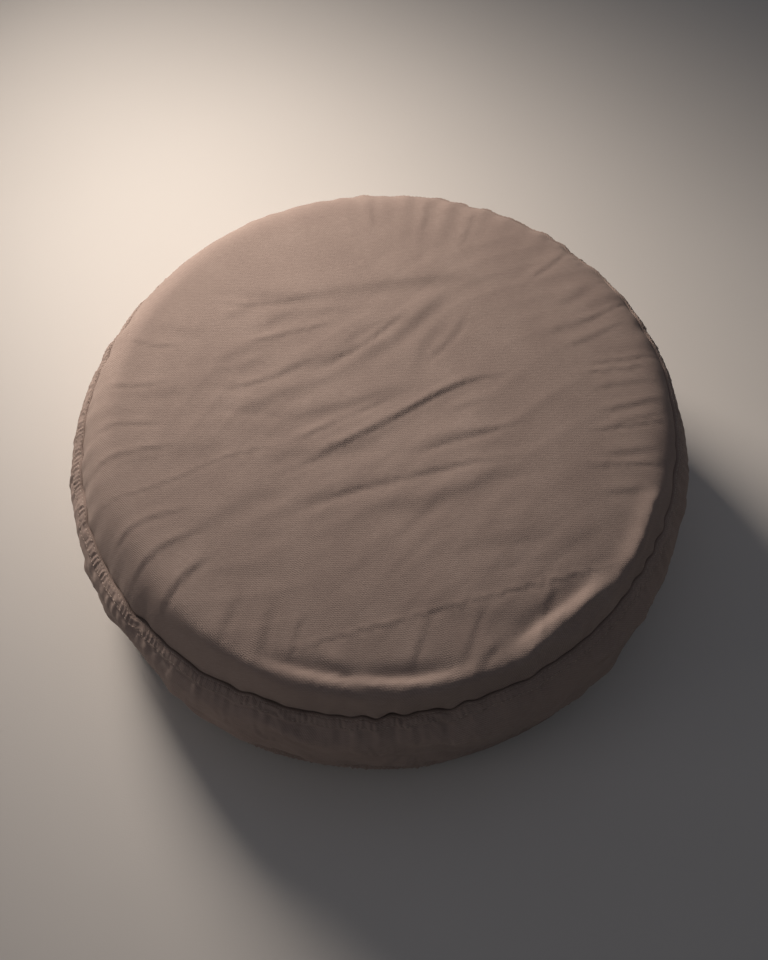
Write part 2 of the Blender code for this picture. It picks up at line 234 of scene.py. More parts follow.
crownAngles = 720
crownSteps = 241
crownTable = np.empty((crownAngles, crownSteps, 3))
crownLength = np.empty(crownAngles)
for turn in range(crownAngles):
    crownTable[turn], crownLength[turn] = crownLine(2 * math.pi * turn / crownAngles, crownSteps)


def curveWeights(t):
    # Catmull-Rom: how much each of four points counts at t between the middle two
    return [
        0.5 * (-t + 2 * t * t - t**3),
        0.5 * (2 - 5 * t * t + 3 * t**3),
        0.5 * (t + 4 * t * t - 3 * t**3),
        0.5 * (-t * t + t**3),
    ]


def sampleGrid(grid, u, v):
    # smooth lookup in a grid that closes on itself along u; u and v are in cells
    before = 2 * grid[:, :1] - grid[:, 1:2]
    after = 2 * grid[:, -1:] - grid[:, -2:-1]
    padded = np.concatenate([before, grid, after], axis=1)
    u0 = np.floor(u).astype(int)
    v0 = np.clip(np.floor(v).astype(int), 0, grid.shape[1] - 2)
    total = 0.0
    for i, wu in enumerate(curveWeights(u - u0)):
        for j, wv in enumerate(curveWeights(v - v0)):
            total = total + (wu * wv)[..., None] * padded[(u0 + i - 1) % len(grid), v0 + j]
    return total


def onCrown(flatX, flatY, flatRadius):
    angle = np.arctan2(flatY, flatX) % (2 * math.pi)
    share = np.clip(np.hypot(flatX, flatY) / flatRadius, 0.0, 1.0)
    u = angle / (2 * math.pi) * crownAngles
    length = np.interp(u, np.arange(crownAngles + 1), np.append(crownLength, crownLength[0]))
    return sampleGrid(crownTable, u, share * (crownSteps - 1)), share, length, angle


def sideCurve(widest, z):
    # the even round that the zip and the strips beside it keep to
    return widest - form["sideRound"] + np.sqrt(form["sideRound"] ** 2 - (z - form["sideRoundHeight"]) ** 2)


def sideLine(angle, steps):
    # from the lower seam out over the bulge and up to the upper seam, by length
    topX, topY, topZ = seamRing(np.array([angle]))
    lowX, lowY, lowZ = footRing(np.array([angle]))
    bulge = form["bulgeHeight"]
    z = np.concatenate([np.linspace(lowZ[0], bulge, 90), np.linspace(bulge, topZ[0], 90)[1:]])
    below = z < bulge
    share = np.where(below, (bulge - z) / (bulge - lowZ[0]), (z - bulge) / (topZ[0] - bulge))
    endX = np.where(below, lowX[0], topX[0])
    endY = np.where(below, lowY[0], topY[0])
    wideX = form["bulgeRadius"] * math.cos(angle)
    wideY = form["bulgeRadius"] * math.sin(angle)
    # fuller above the bulge than below it
    power = np.where(below, 2.0, 3.0)
    x = wideX + (endX - wideX) * share**power
    y = wideY + (endY - wideY) * share**power
    spare = ease(0.5 - 0.5 * math.cos(angle - math.radians(40)), 0.35, 0.9)
    swell = (form["fullness"] + form["spareFullness"] * spare) * np.where(below, 0.0, 1.0)
    swell = swell * 6.75 * share**2 * (1 - share)
    x = x + swell * math.cos(angle)
    y = y + swell * math.sin(angle)
    # the zip holds the cloth beside it to its own curve
    zipped = 1 - ease(np.abs(z - form["zipHeight"]), 0.013, 0.024)
    zipped = zipped * (1 - ease(abs(math.degrees(angle) - 90), 76, 90))
    exact = sideCurve(form["zipRadius"], z)
    x = x + (exact * math.cos(angle) - x) * zipped
    y = y + (exact * math.sin(angle) - y) * zipped
    line = np.stack([x, y, z], axis=1)
    length = lengthsAlong(line)
    return pickAt(line, length, np.linspace(0.0, length[-1], steps)), length[-1]


# folds on the crown: points in mm, then height and width in mm.
# The steep, shaded side of each is on the right of its direction.
crownFolds = [
    ([(-128, 116), (-88, 107), (-59, 106), (-10, 115), (52, 124), (86, 124)], 3.0, 13),
    ([(-120, 84), (-104, 91), (-90, 101)], 1.2, 8),
    ([(-100, 74), (-86, 78), (-69, 88), (-35, 92), (-20, 92)], 1.8, 9),
    ([(-124, 47), (-112, 50), (-91, 60), (-66, 64)], 1.5, 9),
    ([(-126, 33), (-118, 38), (-100, 41), (-80, 50)], 1.2, 8),
    ([(-84, 33), (-60, 42), (-37, 51), (-19, 68), (5, 82), (26, 88)], 2.6, 11),
    ([(-24, 44), (-2, 58), (14, 70), (40, 100), (48, 112)], 2.6, 10),
    ([(-108, -4), (-81, 13), (-44, 27), (-30, 29)], 2.0, 11),
    ([(-66, -2), (-40, 5), (-20, 10), (14, 22), (24, 27)], 2.4, 10),
    ([(18, 24), (24, 42), (30, 60), (46, 86)], 1.4, 10),
    ([(-60, -47), (-36, -30), (-19, -20), (6, -6), (42, 18), (67, 31), (92, 37)], 2.7, 13),
    ([(-84, -41), (-66, -33), (-45, -29), (-26, -22)], 1.8, 8),
    ([(16, -32), (30, -26), (48, -19), (86, -11)], 2.2, 7),
    ([(-70, -76), (-50, -67), (-24, -58), (6, -50), (40, -40), (66, -31)], 2.3, 11),
    ([(-26, -84), (0, -74), (33, -66), (67, -53), (98, -31)], 2.4, 15),
    ([(48, 1), (60, 6), (78, 13)], 1.0, 5),
    ([(-176, -116), (-135, -94), (-89, -66), (-66, -58)], 1.6, 13),
    ([(-188, -36), (-150, -28), (-104, -22)], 1.5, 13),
    ([(-180, 20), (-150, 22), (-124, 18)], 1.3, 11),
    ([(-164, 84), (-144, 76), (-126, 72)], 1.4, 10),
    ([(118, 70), (134, 78), (152, 86), (164, 96)], 1.5, 7),
    ([(128, 98), (144, 108), (156, 122)], 1.4, 8),
    ([(104, -100), (128, -96), (150, -86)], 1.0, 12),
    ([(60, -100), (92, -92), (118, -72)], 1.2, 16),
    ([(20, -142), (46, -146), (70, -150), (96, -150)], 1.6, 14),
]

# folds that the seam holds, near the edge of the crown
rimFolds = [
    ([(134, 60), (150, 66), (186, 90)], 0.6, 4),
    ([(156, 4), (176, 9), (203, 19)], 0.8, 3.5),
    ([(160, -8), (180, -2), (202, 6)], 0.7, 3.5),
    ([(150, 22), (172, 28), (200, 34)], 0.5, 4),
    ([(154, -32), (176, -28), (200, -22)], 0.6, 5),
    ([(150, -62), (168, -60), (192, -54)], 0.6, 5),
    ([(-110, -176), (-103, -160), (-95, -138)], 0.6, 6),
    ([(-82, -190), (-78, -170), (-73, -143)], 0.7, 6),
    ([(-150, -146), (-136, -130), (-116, -108)], 0.7, 7),
    ([(-42, -178), (-30, -187), (-16, -197), (12, -209)], 1.6, 6),
    ([(-104, -184), (-67, -199), (-41, -205), (0, -210), (32, -207), (58, -199), (82, -189)], 3.4, 5),
    ([(-88, -180), (-56, -190), (-30, -196), (4, -198), (34, -195), (62, -187)], -3.0, 5),
    ([(84, -176), (108, -156), (128, -141), (146, -124)], -2.2, 6),
    ([(84, -192), (97, -182), (114, -166), (132, -151), (146, -138), (160, -125)], 4.8, 6),
    ([(126, -182), (131, -166), (136, -149)], 1.6, 5),
    ([(160, -130), (168, -116), (177, -101), (184, -82), (191, -67), (198, -50)], 4.2, 6),
    ([(60, -200), (66, -184), (78, -172)], 1.0, 5),
]

# fine creases
fineFolds = [
    ([(-62, -49), (-30, -29), (4, -9), (40, 14), (66, 27), (90, 33)], 0.9, 3),
    ([(-70, -30), (-40, -14), (-10, 2), (20, 18)], 0.5, 3),
    ([(-64, -82), (-20, -64), (20, -53), (60, -42), (100, -36)], 0.6, 3),
    ([(20, -35), (60, -21), (104, -6)], 0.5, 3),
    ([(-104, 58), (-60, 70), (-30, 80)], 0.5, 3),
    ([(-44, 38), (-10, 60), (20, 90)], 0.6, 3),
    ([(-132, 100), (-90, 96), (-40, 104)], 0.4, 3),
    ([(-110, 20), (-80, 28), (-50, 44)], 0.5, 3),
    ([(30, 40), (52, 66), (64, 92)], 0.4, 4),
    ([(150, 44), (178, 50), (204, 58)], 0.5, 2.5),
    ([(146, -14), (176, -8), (207, 0)], 0.6, 2.5),
    ([(140, -42), (170, -40), (202, -36)], 0.5, 3),
    ([(144, 80), (166, 92), (186, 108)], 0.5, 2.5),
    ([(110, 120), (128, 136), (144, 156)], 0.5, 3),
    ([(60, 150), (68, 176), (74, 200)], 0.3, 4),
    ([(30, 160), (34, 184), (36, 206)], 0.3, 4),
    ([(-6, 168), (-8, 190), (-10, 208)], 0.3, 4),
    ([(-208, -10), (-180, -6), (-150, -8)], 0.5, 3),
    ([(-206, -40), (-176, -30), (-140, -26)], 0.6, 3),
    ([(-204, 30), (-176, 26), (-150, 28)], 0.5, 3),
    ([(-190, 72), (-168, 62), (-146, 60)], 0.5, 3),
    ([(-188, -102), (-160, -84), (-130, -76)], 0.6, 3),
    ([(-172, -126), (-146, -104), (-120, -92)], 0.6, 3),
    ([(-150, -152), (-130, -126), (-112, -112)], 0.6, 3),
    ([(-60, -192), (-56, -170), (-50, -150)], 0.35, 3),
    ([(18, -198), (24, -175), (34, -150)], 0.35, 4),
    ([(50, -194), (60, -165), (70, -140)], 0.35, 4),
    ([(104, -176), (108, -150), (118, -128)], 0.5, 4),
]

# sharp lines left where the cover was folded flat and pressed
pressedLines = [
    ([(-97, -190), (-32, -172), (79, -140), (165, -115), (186, -107)], 0.55, 1.6),
    ([(136, 34), (152, 36), (199, 46)], 0.5, 1.5),
    ([(-204, -70), (-158, -60), (-104, -36), (-60, -28)], 0.4, 1.8),
    ([(-30, 196), (-18, 150), (-8, 118)], 0.3, 1.8),
]


def smoothLine(points, spacing):
    points = np.array(points, float) / 1000
    ends = np.vstack([2 * points[0] - points[1], points, 2 * points[-1] - points[-2]])
    line = []
    for k in range(1, len(ends) - 2):
        count = max(2, int(np.linalg.norm(ends[k + 1] - ends[k]) / spacing))
        t = np.linspace(0, 1, count, endpoint=False)[:, None]
        line.append(sum(w * end for w, end in zip(curveWeights(t), ends[k - 1 : k + 3])))
    return np.vstack([*line, ends[-2:-1]])


def foldHeights(x, y, folds, valley=0.45, wander=0.0):
    total = np.zeros_like(x)
    for points, height, width in folds:
        height = height / 1000
        width = width / 1000
        line = smoothLine(points, 0.002)
        reach = 3.5 * width
        low = line.min(axis=0) - reach
        high = line.max(axis=0) + reach
        near = np.nonzero((x > low[0]) & (x < high[0]) & (y > low[1]) & (y < high[1]))[0]
        if not len(near):
            continue
        away = np.stack([x[near], y[near]], axis=1)
        best = np.full(len(near), 1e9)
        side = np.zeros(len(near))
        place = np.zeros(len(near))
        for k in range(len(line) - 1):
            step = line[k + 1] - line[k]
            size = np.linalg.norm(step)
            along = np.clip((away - line[k]) @ step / size**2, 0, 1)
            offset = away - line[k] - along[:, None] * step
            distance = np.linalg.norm(offset, axis=1)
            closer = distance < best
            best = np.where(closer, distance, best)
            turned = (step[0] * offset[:, 1] - step[1] * offset[:, 0]) / size
            side = np.where(closer, np.sign(turned) * distance, side)
            place = np.where(closer, (k + along) / (len(line) - 1), place)
        fade = ease(place, 0.0, 0.28) * (1 - ease(place, 0.72, 1.0))
        fade = 0.12 + 0.88 * fade
        fade = fade * (1 - ease(best, 1.6 * width, 3.2 * width))
        lit = np.exp(-((side / (1.25 * width)) ** 2)) * (side >= 0)
        steep = np.exp(-((side / (0.42 * width)) ** 2)) * (side < 0)
        dip = np.exp(-(((side + 0.95 * width) / (0.5 * width)) ** 2))
        uneven = 0.82 + 0.18 * np.sin(place * 11 + height * 4000) * np.sin(place * 5 + width * 900)
        total[near] += height * fade * uneven * (lit + steep - valley * dip)
    return total


# meshes
def makeObject(name, points, faces, grain=None, smooth=True):
    mesh = bpy.data.meshes.new(name)
    mesh.from_pydata(np.asarray(points, float).tolist(), [], [list(map(int, f)) for f in faces])
    if grain is not None:
        corners = np.empty(len(mesh.loops), np.int32)
        mesh.loops.foreach_get("vertex_index", corners)
        layer = mesh.uv_layers.new(name="grain")  # metres along the warp and the weft
        layer.data.foreach_set("uv", np.asarray(grain, float)[corners].astype(np.float32).ravel())
    mesh.polygons.foreach_set("use_smooth", [smooth] * len(mesh.polygons))
    mesh.update()
    piece = bpy.data.objects.new(name, mesh)
    scene.collection.objects.link(piece)
    return piece


def gridFaces(rows, columns, closed=False, start=0):
    faces = []
    for i in range(rows if closed else rows - 1):
        here = start + i * columns
        there = start + (i + 1) % rows * columns
        for j in range(columns - 1):
            faces.append((here + j, there + j, there + j + 1, here + j + 1))
    return faces


def gridNormals(points, closed=False):
    # outward for a grid whose rows run anticlockwise and whose columns climb
    if closed:
        along = np.roll(points, -1, axis=0) - np.roll(points, 1, axis=0)
    else:
        along = np.gradient(points, axis=0)
    up = np.gradient(points, axis=1)
    return unit(np.cross(along, up))


def readPoints(piece):
    graph = bpy.context.evaluated_depsgraph_get()
    mesh = piece.evaluated_get(graph).data
    points = np.empty(len(mesh.vertices) * 3)
    mesh.vertices.foreach_get("co", points)
    return points.reshape(-1, 3)


def removeObject(piece):
    mesh = piece.data
    bpy.data.objects.remove(piece)
    bpy.data.meshes.remove(mesh)


def settle(piece, material, slotName, node, fill=None, cloth=None):
    # the last step for each piece: its thickness, its material and what it stands for
    if cloth is not None:
        modifier = piece.modifiers.new("clothThickness", "SOLIDIFY")
        modifier.thickness = cloth
        modifier.offset = -1.0
    piece.data.materials.append(material)
    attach(piece, "cushion")
    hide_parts(node)


# the cover's top panel: a flat disc of twill, slack over the crown
topPanel = {
    "flatRadius": 0.236,
    "rimPoints": 720,
    "rimRings": [0.0, 1.1, 2.4, 4.0, 6.0, 8.4, 11.0, 14.0, 17.2],  # mm in from the seam
    "lattice": 0.0034,
    "easeAcross": 1.008,  # slack across the folds, then along them
    "easeAlong": 1.002,
    "easedInside": 0.178,
    "rimEase": 0.975,
    "cloth": 0.0008,
    "calmed": 14,
    "crumple": 0.00022,
    "ditch": 0.0011,  # how far the seam draws the panel in
    "ditchReach": 0.0016,
    "foldKeep": 0.32,  # share of the laid folds that is drawn again after the cloth has been smoothed
}


def topPanelFlat():
    random = np.random.default_rng(11)
    points = []
    count = topPanel["rimPoints"]
    for ring, inset in enumerate(topPanel["rimRings"]):
        radius = topPanel["flatRadius"] - inset / 1000
        turns = (np.arange(count) + 0.5 * (ring % 2)) * 2 * math.pi / count
        points += [(radius * math.cos(a), radius * math.sin(a)) for a in turns]
        if ring > 4:
            count = topPanel["rimPoints"] * 3 // 4 if ring < 7 else topPanel["rimPoints"] // 2
    edges = [(i, (i + 1) % topPanel["rimPoints"]) for i in range(topPanel["rimPoints"])]
    step = topPanel["lattice"]
    inner = topPanel["flatRadius"] - topPanel["rimRings"][-1] / 1000 - 0.7 * step
    rows = int(inner / (step * 0.866)) + 1
    for row in range(-rows, rows + 1):
        for column in range(-rows - 8, rows + 9):
            x = (column + 0.5 * (row % 2)) * step + random.uniform(-0.2, 0.2) * step
            y = row * step * 0.866 + random.uniform(-0.2, 0.2) * step
            if math.hypot(x, y) < inner:
                points.append((x, y))
    flat = [Vector(p) for p in points]
    vertices, _, faces, _, _, _ = delaunay_2d_cdt(flat, edges, [], 1, 1e-6)
    return np.array([tuple(v) for v in vertices]), faces


def topPanelShape(flat):
    x, y = flat[:, 0], flat[:, 1]
    points, share, length, angle = onCrown(x, y, topPanel["flatRadius"])
    fromSeam = (1 - share) * length
    step = 0.0015
    ways = ((step, 0), (-step, 0), (0, step), (0, -step))
    aheadX, behindX, aheadY, behindY = [
        onCrown(x + stepX, y + stepY, topPanel["flatRadius"])[0] for stepX, stepY in ways
    ]
    normals = unit(np.cross(aheadX - behindX, aheadY - behindY))
    return points, normals, fromSeam, share, length, angle


def topPanelRest(flat, share, length, angle):
    # the cut disc: slack in the middle, pulled tight where it turns down to the seam
    reach = share * length
    inner = np.minimum(reach, topPanel["easedInside"])
    rest = inner + (reach - inner) * topPanel["rimEase"]
    scale = rest / np.maximum(np.hypot(flat[:, 0], flat[:, 1]), 1e-9)
    x = flat[:, 0] * scale * topPanel["easeAlong"]
    y = flat[:, 1] * scale * topPanel["easeAcross"]
    return np.stack([x, y, np.full(len(x), form["crown"])], axis=1)


def edgePuckers(angle, fromSeam, seed):
    # small gathers that run in from the stitched seam and die out
    deep = ringWave(angle, seed, 90, 240)
    broad = ringWave(angle, seed + 1, 24, 84)
    patch = 0.65 + 0.35 * ringWave(angle, seed + 2, 3, 9)
    near = np.exp(-fromSeam / 0.007) * (1 - np.exp(-fromSeam / 0.0012))
    wide = np.exp(-fromSeam / 0.024) * (1 - np.exp(-fromSeam / 0.005))
    return patch * (0.00045 * deep * near + 0.0007 * broad * wide)


def crumple(x, y):
    # shallow creases from wear, long across the slope of the folds, strongest left of the middle
    random = np.random.default_rng(29)
    total = np.zeros_like(x)
    for count in range(26):
        lean = math.radians(random.normal(68, 16))
        wave = 2 * math.pi / random.uniform(0.024, 0.060)
        bend = random.uniform(0.004, 0.012) * np.sin(x * random.uniform(15, 40) + random.uniform(0, 6))
        across = x * math.cos(lean + 0.9) + y * math.sin(lean + 0.9) + bend
        ripple = np.sin(wave * across + random.uniform(0, 6))
        patchX = random.uniform(-0.15, 0.13)
        patchY = random.uniform(-0.18, 0.14)
        reach = random.uniform(0.030, 0.060)
        patch = np.exp(-((x - patchX) ** 2 + (y - patchY) ** 2) / reach**2)
        total += patch * (1 - np.abs(ripple)) ** 1.5 * random.choice([-1, 1])
    return topPanel["crumple"] * total


# the side: front band and the two zip strips, worked as one sleeve and then parted
side = {
    "around": 600,
    "rows": 37,
    "slack": 1.012,
    "easeRound": 1.006,
    "spareShare": 0.42,  # how much of the spare height at the low side of the seam shows as folds
    "fullHeight": 0.1065,
    "cloth": 0.0008,
    "zipFrom": 15.0,
    "zipTo": 165.0,
    "zipGap": 0.005,  # folded edge to the middle of the zip
    "stripWidth": 0.0086,  # flat-felled strip below the seam
    "stripLift": 0.0013,
    "finePerDegree": 4.5,
    # mm from a seam, and from a folded edge
    "seamRows": [0, 0.5, 1, 1.5, 2, 2.6, 3.3, 4.2, 5.2, 6.1, 6.8, 7.4, 7.9, 8.4, 8.9, 9.5, 10.4, 11.6],
    "foldedRows": [0, 0.6, 1.2, 1.8, 2.6, 3.8, 5.5],
    "foldKeep": 1.25,
}

# folds in the side: bearing in degrees and share of the height, then height and width in mm
sideFolds = [
    ([(222, 0.62), (232, 0.70), (244, 0.66), (256, 0.52)], 4.0, 8),
    ([(228, 0.40), (240, 0.46), (254, 0.40), (268, 0.26)], 3.4, 8),
    ([(248, 0.86), (258, 0.80), (270, 0.66), (280, 0.54)], 3.0, 7),
    ([(262, 0.44), (276, 0.36), (290, 0.34)], 2.4, 7),
    ([(276, 0.78), (284, 0.72), (296, 0.60), (308, 0.56)], 3.6, 8),
    ([(296, 0.30), (310, 0.36), (322, 0.34)], 2.2, 7),
    ([(306, 0.84), (318, 0.76), (332, 0.72)], 2.6, 8),
    ([(196, 0.66), (206, 0.60), (220, 0.64)], 2.8, 7),
    ([(186, 0.36), (200, 0.40), (214, 0.32)], 2.4, 8),
    ([(330, 0.44), (344, 0.38), (358, 0.42)], 1.8, 8),
    ([(340, 0.80), (352, 0.74), (368, 0.78)], 1.6, 8),
    ([(172, 0.78), (182, 0.72), (192, 0.80)], 1.8, 6),
]


def sideSleeve():
    around = side["around"]
    rows = side["rows"]
    sleeve = np.empty((around, rows, 3))
    length = np.empty(around)
    for turn in range(around):
        sleeve[turn], length[turn] = sideLine(2 * math.pi * turn / around, rows)
    return sleeve, length


def sideRest(sleeve, length):
    around, rows = sleeve.shape[:2]
    spare = side["spareShare"] * np.maximum(side["fullHeight"] - length, 0.0)
    tall = length * side["slack"] + spare
    angle = np.arange(around)[:, None] * 2 * math.pi / around
    climb = np.linspace(0.0, 1.0, rows)[None, :]
    radius = form["meanRadius"] * side["easeRound"]
    x = radius * np.cos(angle) + 0 * climb
    y = radius * np.sin(angle) + 0 * climb
    z = tall[:, None] * climb
    return np.stack([x, y, z], axis=2), tall


def sideBumps(angleDegrees, share):
    x = angleDegrees / 1000 * 3.9  # arc length in metres at the bulge
    y = share * 0.1
    lines = []
    for points, height, width in sideFolds:
        for turn in (-360, 0, 360):
            line = [((bearing + turn) * 3.9, level * 100) for bearing, level in points]
            lines.append((line, height, width))
    return foldHeights(x.ravel(), y.ravel(), lines).reshape(x.shape)


def zipHeld(angleDegrees, z):
    zipped = 1 - ease(np.abs(z - form["zipHeight"]), 0.012, 0.016)
    bearing = angleDegrees % 360
    return zipped * (1 - ease(np.abs(bearing - 90), 75, 78))


# cloth simulation of the panel and the sleeve over the filled case
simulation = {
    "frames": 18,
    "steps": 7,
    "mass": 0.25,
    "tension": 26.0,
    "compression": 26.0,
    "shear": 9.0,
    "bending": 4.0,
    "air": 2.0,
    "damping": 12.0,
    "bendingDamping": 2.0,
    "coreInset": 0.0022,  # the case lies this far below the cover's form
    "furthest": 0.012,  # no point moves further than this
}


def coreShape(inset):
    # the filled case below the cover, as one closed mesh
    rings = []
    for turn in range(180):
        angle = 2 * math.pi * turn / 180
        over, _ = crownLine(angle, 50)
        down, _ = sideLine(angle, 30)
        line = np.vstack([over[:-1], down[::-1]])
        tangent = np.gradient(line, axis=0)
        outward = np.array([math.cos(angle), math.sin(angle)])
        radial = tangent[:, :2] @ outward
        normal = unit(np.stack([-tangent[:, 2], radial], axis=1))
        line[:, :2] -= inset * normal[:, :1] * outward
        line[:, 2] -= inset * normal[:, 1]
        rings.append(line[2:])
    rings = np.array(rings)
    columns = rings.shape[1]
    points = list(rings.reshape(-1, 3))
    faces = [f[::-1] for f in gridFaces(180, columns, closed=True)]
    top = len(points)
    points.append((0.0, 0.0, form["crown"] - inset))
    points.append((0.0, 0.0, 0.004))
    for turn in range(180):
        here = turn * columns
        there = (turn + 1) % 180 * columns
        faces.append((top, here, there))
        faces.append((top + 1, there + columns - 1, here + columns - 1))
    return points, faces


def addCloth(piece, rest, pinned):
    piece.shape_key_add(name="Basis")
    key = piece.shape_key_add(name="cut")
    key.data.foreach_set("co", rest.astype(np.float32).ravel())
    key.value = 0.0
    group = piece.vertex_groups.new(name="sewn")
    strong = np.nonzero(pinned > 0.999)[0].tolist()
    group.add(strong, 1.0, "REPLACE")
    for index in np.nonzero((pinned > 0.02) & (pinned <= 0.999))[0]:
        group.add([int(index)], float(pinned[index]), "REPLACE")
    modifier = piece.modifiers.new("Cloth", "CLOTH")
    cloth = modifier.settings
    cloth.quality = simulation["steps"]
    cloth.mass = simulation["mass"]
    cloth.air_damping = simulation["air"]
    cloth.tension_stiffness = simulation["tension"]
    cloth.compression_stiffness = simulation["compression"]
    cloth.shear_stiffness = simulation["shear"]
    cloth.bending_stiffness = simulation["bending"]
    cloth.tension_damping = simulation["damping"]
    cloth.compression_damping = simulation["damping"]
    cloth.shear_damping = simulation["damping"]
    cloth.bending_damping = simulation["bendingDamping"]
    cloth.rest_shape_key = key
    cloth.vertex_group_mass = "sewn"
    cloth.pin_stiffness = 1.0
    modifier.collision_settings.distance_min = 0.0012
    modifier.collision_settings.collision_quality = 2
    modifier.collision_settings.use_self_collision = False
    modifier.point_cache.frame_start = 1
    modifier.point_cache.frame_end = simulation["frames"]


def runCloth(pieces, core):
    core.modifiers.new("Collision", "COLLISION")
    core.collision.thickness_outer = 0.001
    core.collision.cloth_friction = 30.0
    scene.frame_start = 1
    scene.frame_end = simulation["frames"]
    for current in range(1, simulation["frames"] + 1):
        scene.frame_set(current)
    results = [readPoints(piece) for piece in pieces]
    for piece in [*pieces, core]:
        removeObject(piece)
    scene.frame_set(1)
    return results


def calm(moves, faces, times):
    # evens out ripples that are only as wide as the mesh
    pairs = np.vstack([[(f[i], f[i - 1]) for i in range(len(f))] for f in faces])
    first = np.concatenate([pairs[:, 0], pairs[:, 1]])
    second = np.concatenate([pairs[:, 1], pairs[:, 0]])
    count = np.bincount(first, minlength=len(moves))[:, None]
    for _ in range(times):
        total = np.stack([np.bincount(first, moves[second, i], len(moves)) for i in range(3)], axis=1)
        moves = 0.4 * moves + 0.6 * total / count
    return moves


def limitMove(before, after):
    move = after - before
    size = np.linalg.norm(move, axis=1, keepdims=True)
    return before + move * np.minimum(1.0, simulation["furthest"] / np.maximum(size, 1e-9))


makeCamera()
say("form and camera are ready")

topFlat, topFaces = topPanelFlat()
topForm, topNormals, topFromSeam, topShare, topReach, topAngle = topPanelShape(topFlat)
bumps = foldHeights(topForm[:, 0], topForm[:, 1], crownFolds)
bumps += 0.5 * foldHeights(topForm[:, 0], topForm[:, 1], rimFolds)
overCrown = ease(topFromSeam, 0.002, 0.012)
topStart = topForm + topNormals * (bumps * overCrown + edgePuckers(topAngle, topFromSeam, 21))[:, None]
topCut = topPanelRest(topFlat, topShare, topReach, topAngle)

sleeveForm, sleeveLength = sideSleeve()
sleeveNormals = gridNormals(sleeveForm, closed=True)
sleeveBearing = np.degrees(np.arange(side["around"]) * 2 * math.pi / side["around"])[:, None]
sleeveBearing = sleeveBearing + np.zeros((1, side["rows"]))
sleeveShare = np.linspace(0, 1, side["rows"])[None, :] + np.zeros((side["around"], 1))
held = zipHeld(sleeveBearing, sleeveForm[:, :, 2])
sleeveEnds = ease(sleeveShare, 0.0, 0.12) * (1 - ease(sleeveShare, 0.88, 1.0))
sleeveBumps = sideBumps(sleeveBearing, sleeveShare) * sleeveEnds * (1 - held)
sleeveStart = sleeveForm + sleeveNormals * sleeveBumps[:, :, None]
sleeveCut, sleeveTall = sideRest(sleeveForm, sleeveLength)

topCloth = makeObject("topClothTrial", topStart, topFaces)
addCloth(topCloth, topCut, (topShare > 0.9999).astype(float))
sleeveCloth = makeObject(
    "sleeveClothTrial",
    sleeveStart.reshape(-1, 3),
    gridFaces(side["around"], side["rows"], closed=True),
)
sewn = held.copy()
sewn[:, 0] = 1.0
sewn[:, -1] = 1.0
addCloth(sleeveCloth, sleeveCut.reshape(-1, 3), sewn.ravel())
corePoints, coreFaces = coreShape(simulation["coreInset"])
core = makeObject("filledCaseTrial", corePoints, coreFaces)
topSettled, sleeveSettled = runCloth([topCloth, sleeveCloth], core)
topSettled = limitMove(topStart, topSettled)
sleeveSettled = limitMove(sleeveStart.reshape(-1, 3), sleeveSettled)
sleeveSettled = sleeveSettled.reshape(sleeveStart.shape)
say("cloth has settled")

# cloths: colours of the yarn from its shaded to its worn places. The rib is in metres.
# The real twill's ribs are 0.45 mm apart, too fine to show, so they are drawn coarser.
cloths = {
    # washed cotton twill, piece-dyed taupe: matt, with a faint diagonal grain and soft patches
    "washed_cotton_twill": {
        "colours": ("#8f7e77", "#998880", "#a3928a"),
        "roughness": 0.92,
        "sheen": 0.10,
        "sheenTint": "#d6c8bc",
        "rib": 0.0013,
        "ribDepth": 0.00022,
    },
    # bleached cotton muslin: open plain weave, flat white
    "cotton_muslin": {
        "colours": ("#cfcac0", "#dcd7cd", "#e6e2d9"),
        "roughness": 0.90,
        "sheen": 0.10,
        "sheenTint": "#ffffff",
        "rib": 0.0011,
        "ribDepth": 0.00020,
    },
    # woven polyester zip tape: tight herringbone, slightly brighter than cotton
    "woven_polyester_tape": {
        "colours": ("#75655d", "#7f6f67", "#897971"),
        "roughness": 0.70,
        "sheen": 0.06,
        "sheenTint": "#d8ccc2",
        "rib": 0.0009,
        "ribDepth": 0.00018,
    },
    # woven satin label, left blank: smooth warp floats give a soft gloss
    "woven_satin_label": {
        "colours": ("#d8d5cc", "#e2dfd7", "#ebe9e2"),
        "roughness": 0.42,
        "sheen": 0.10,
        "sheenTint": "#ffffff",
        "rib": 0.0007,
        "ribDepth": 0.00008,
    },
}


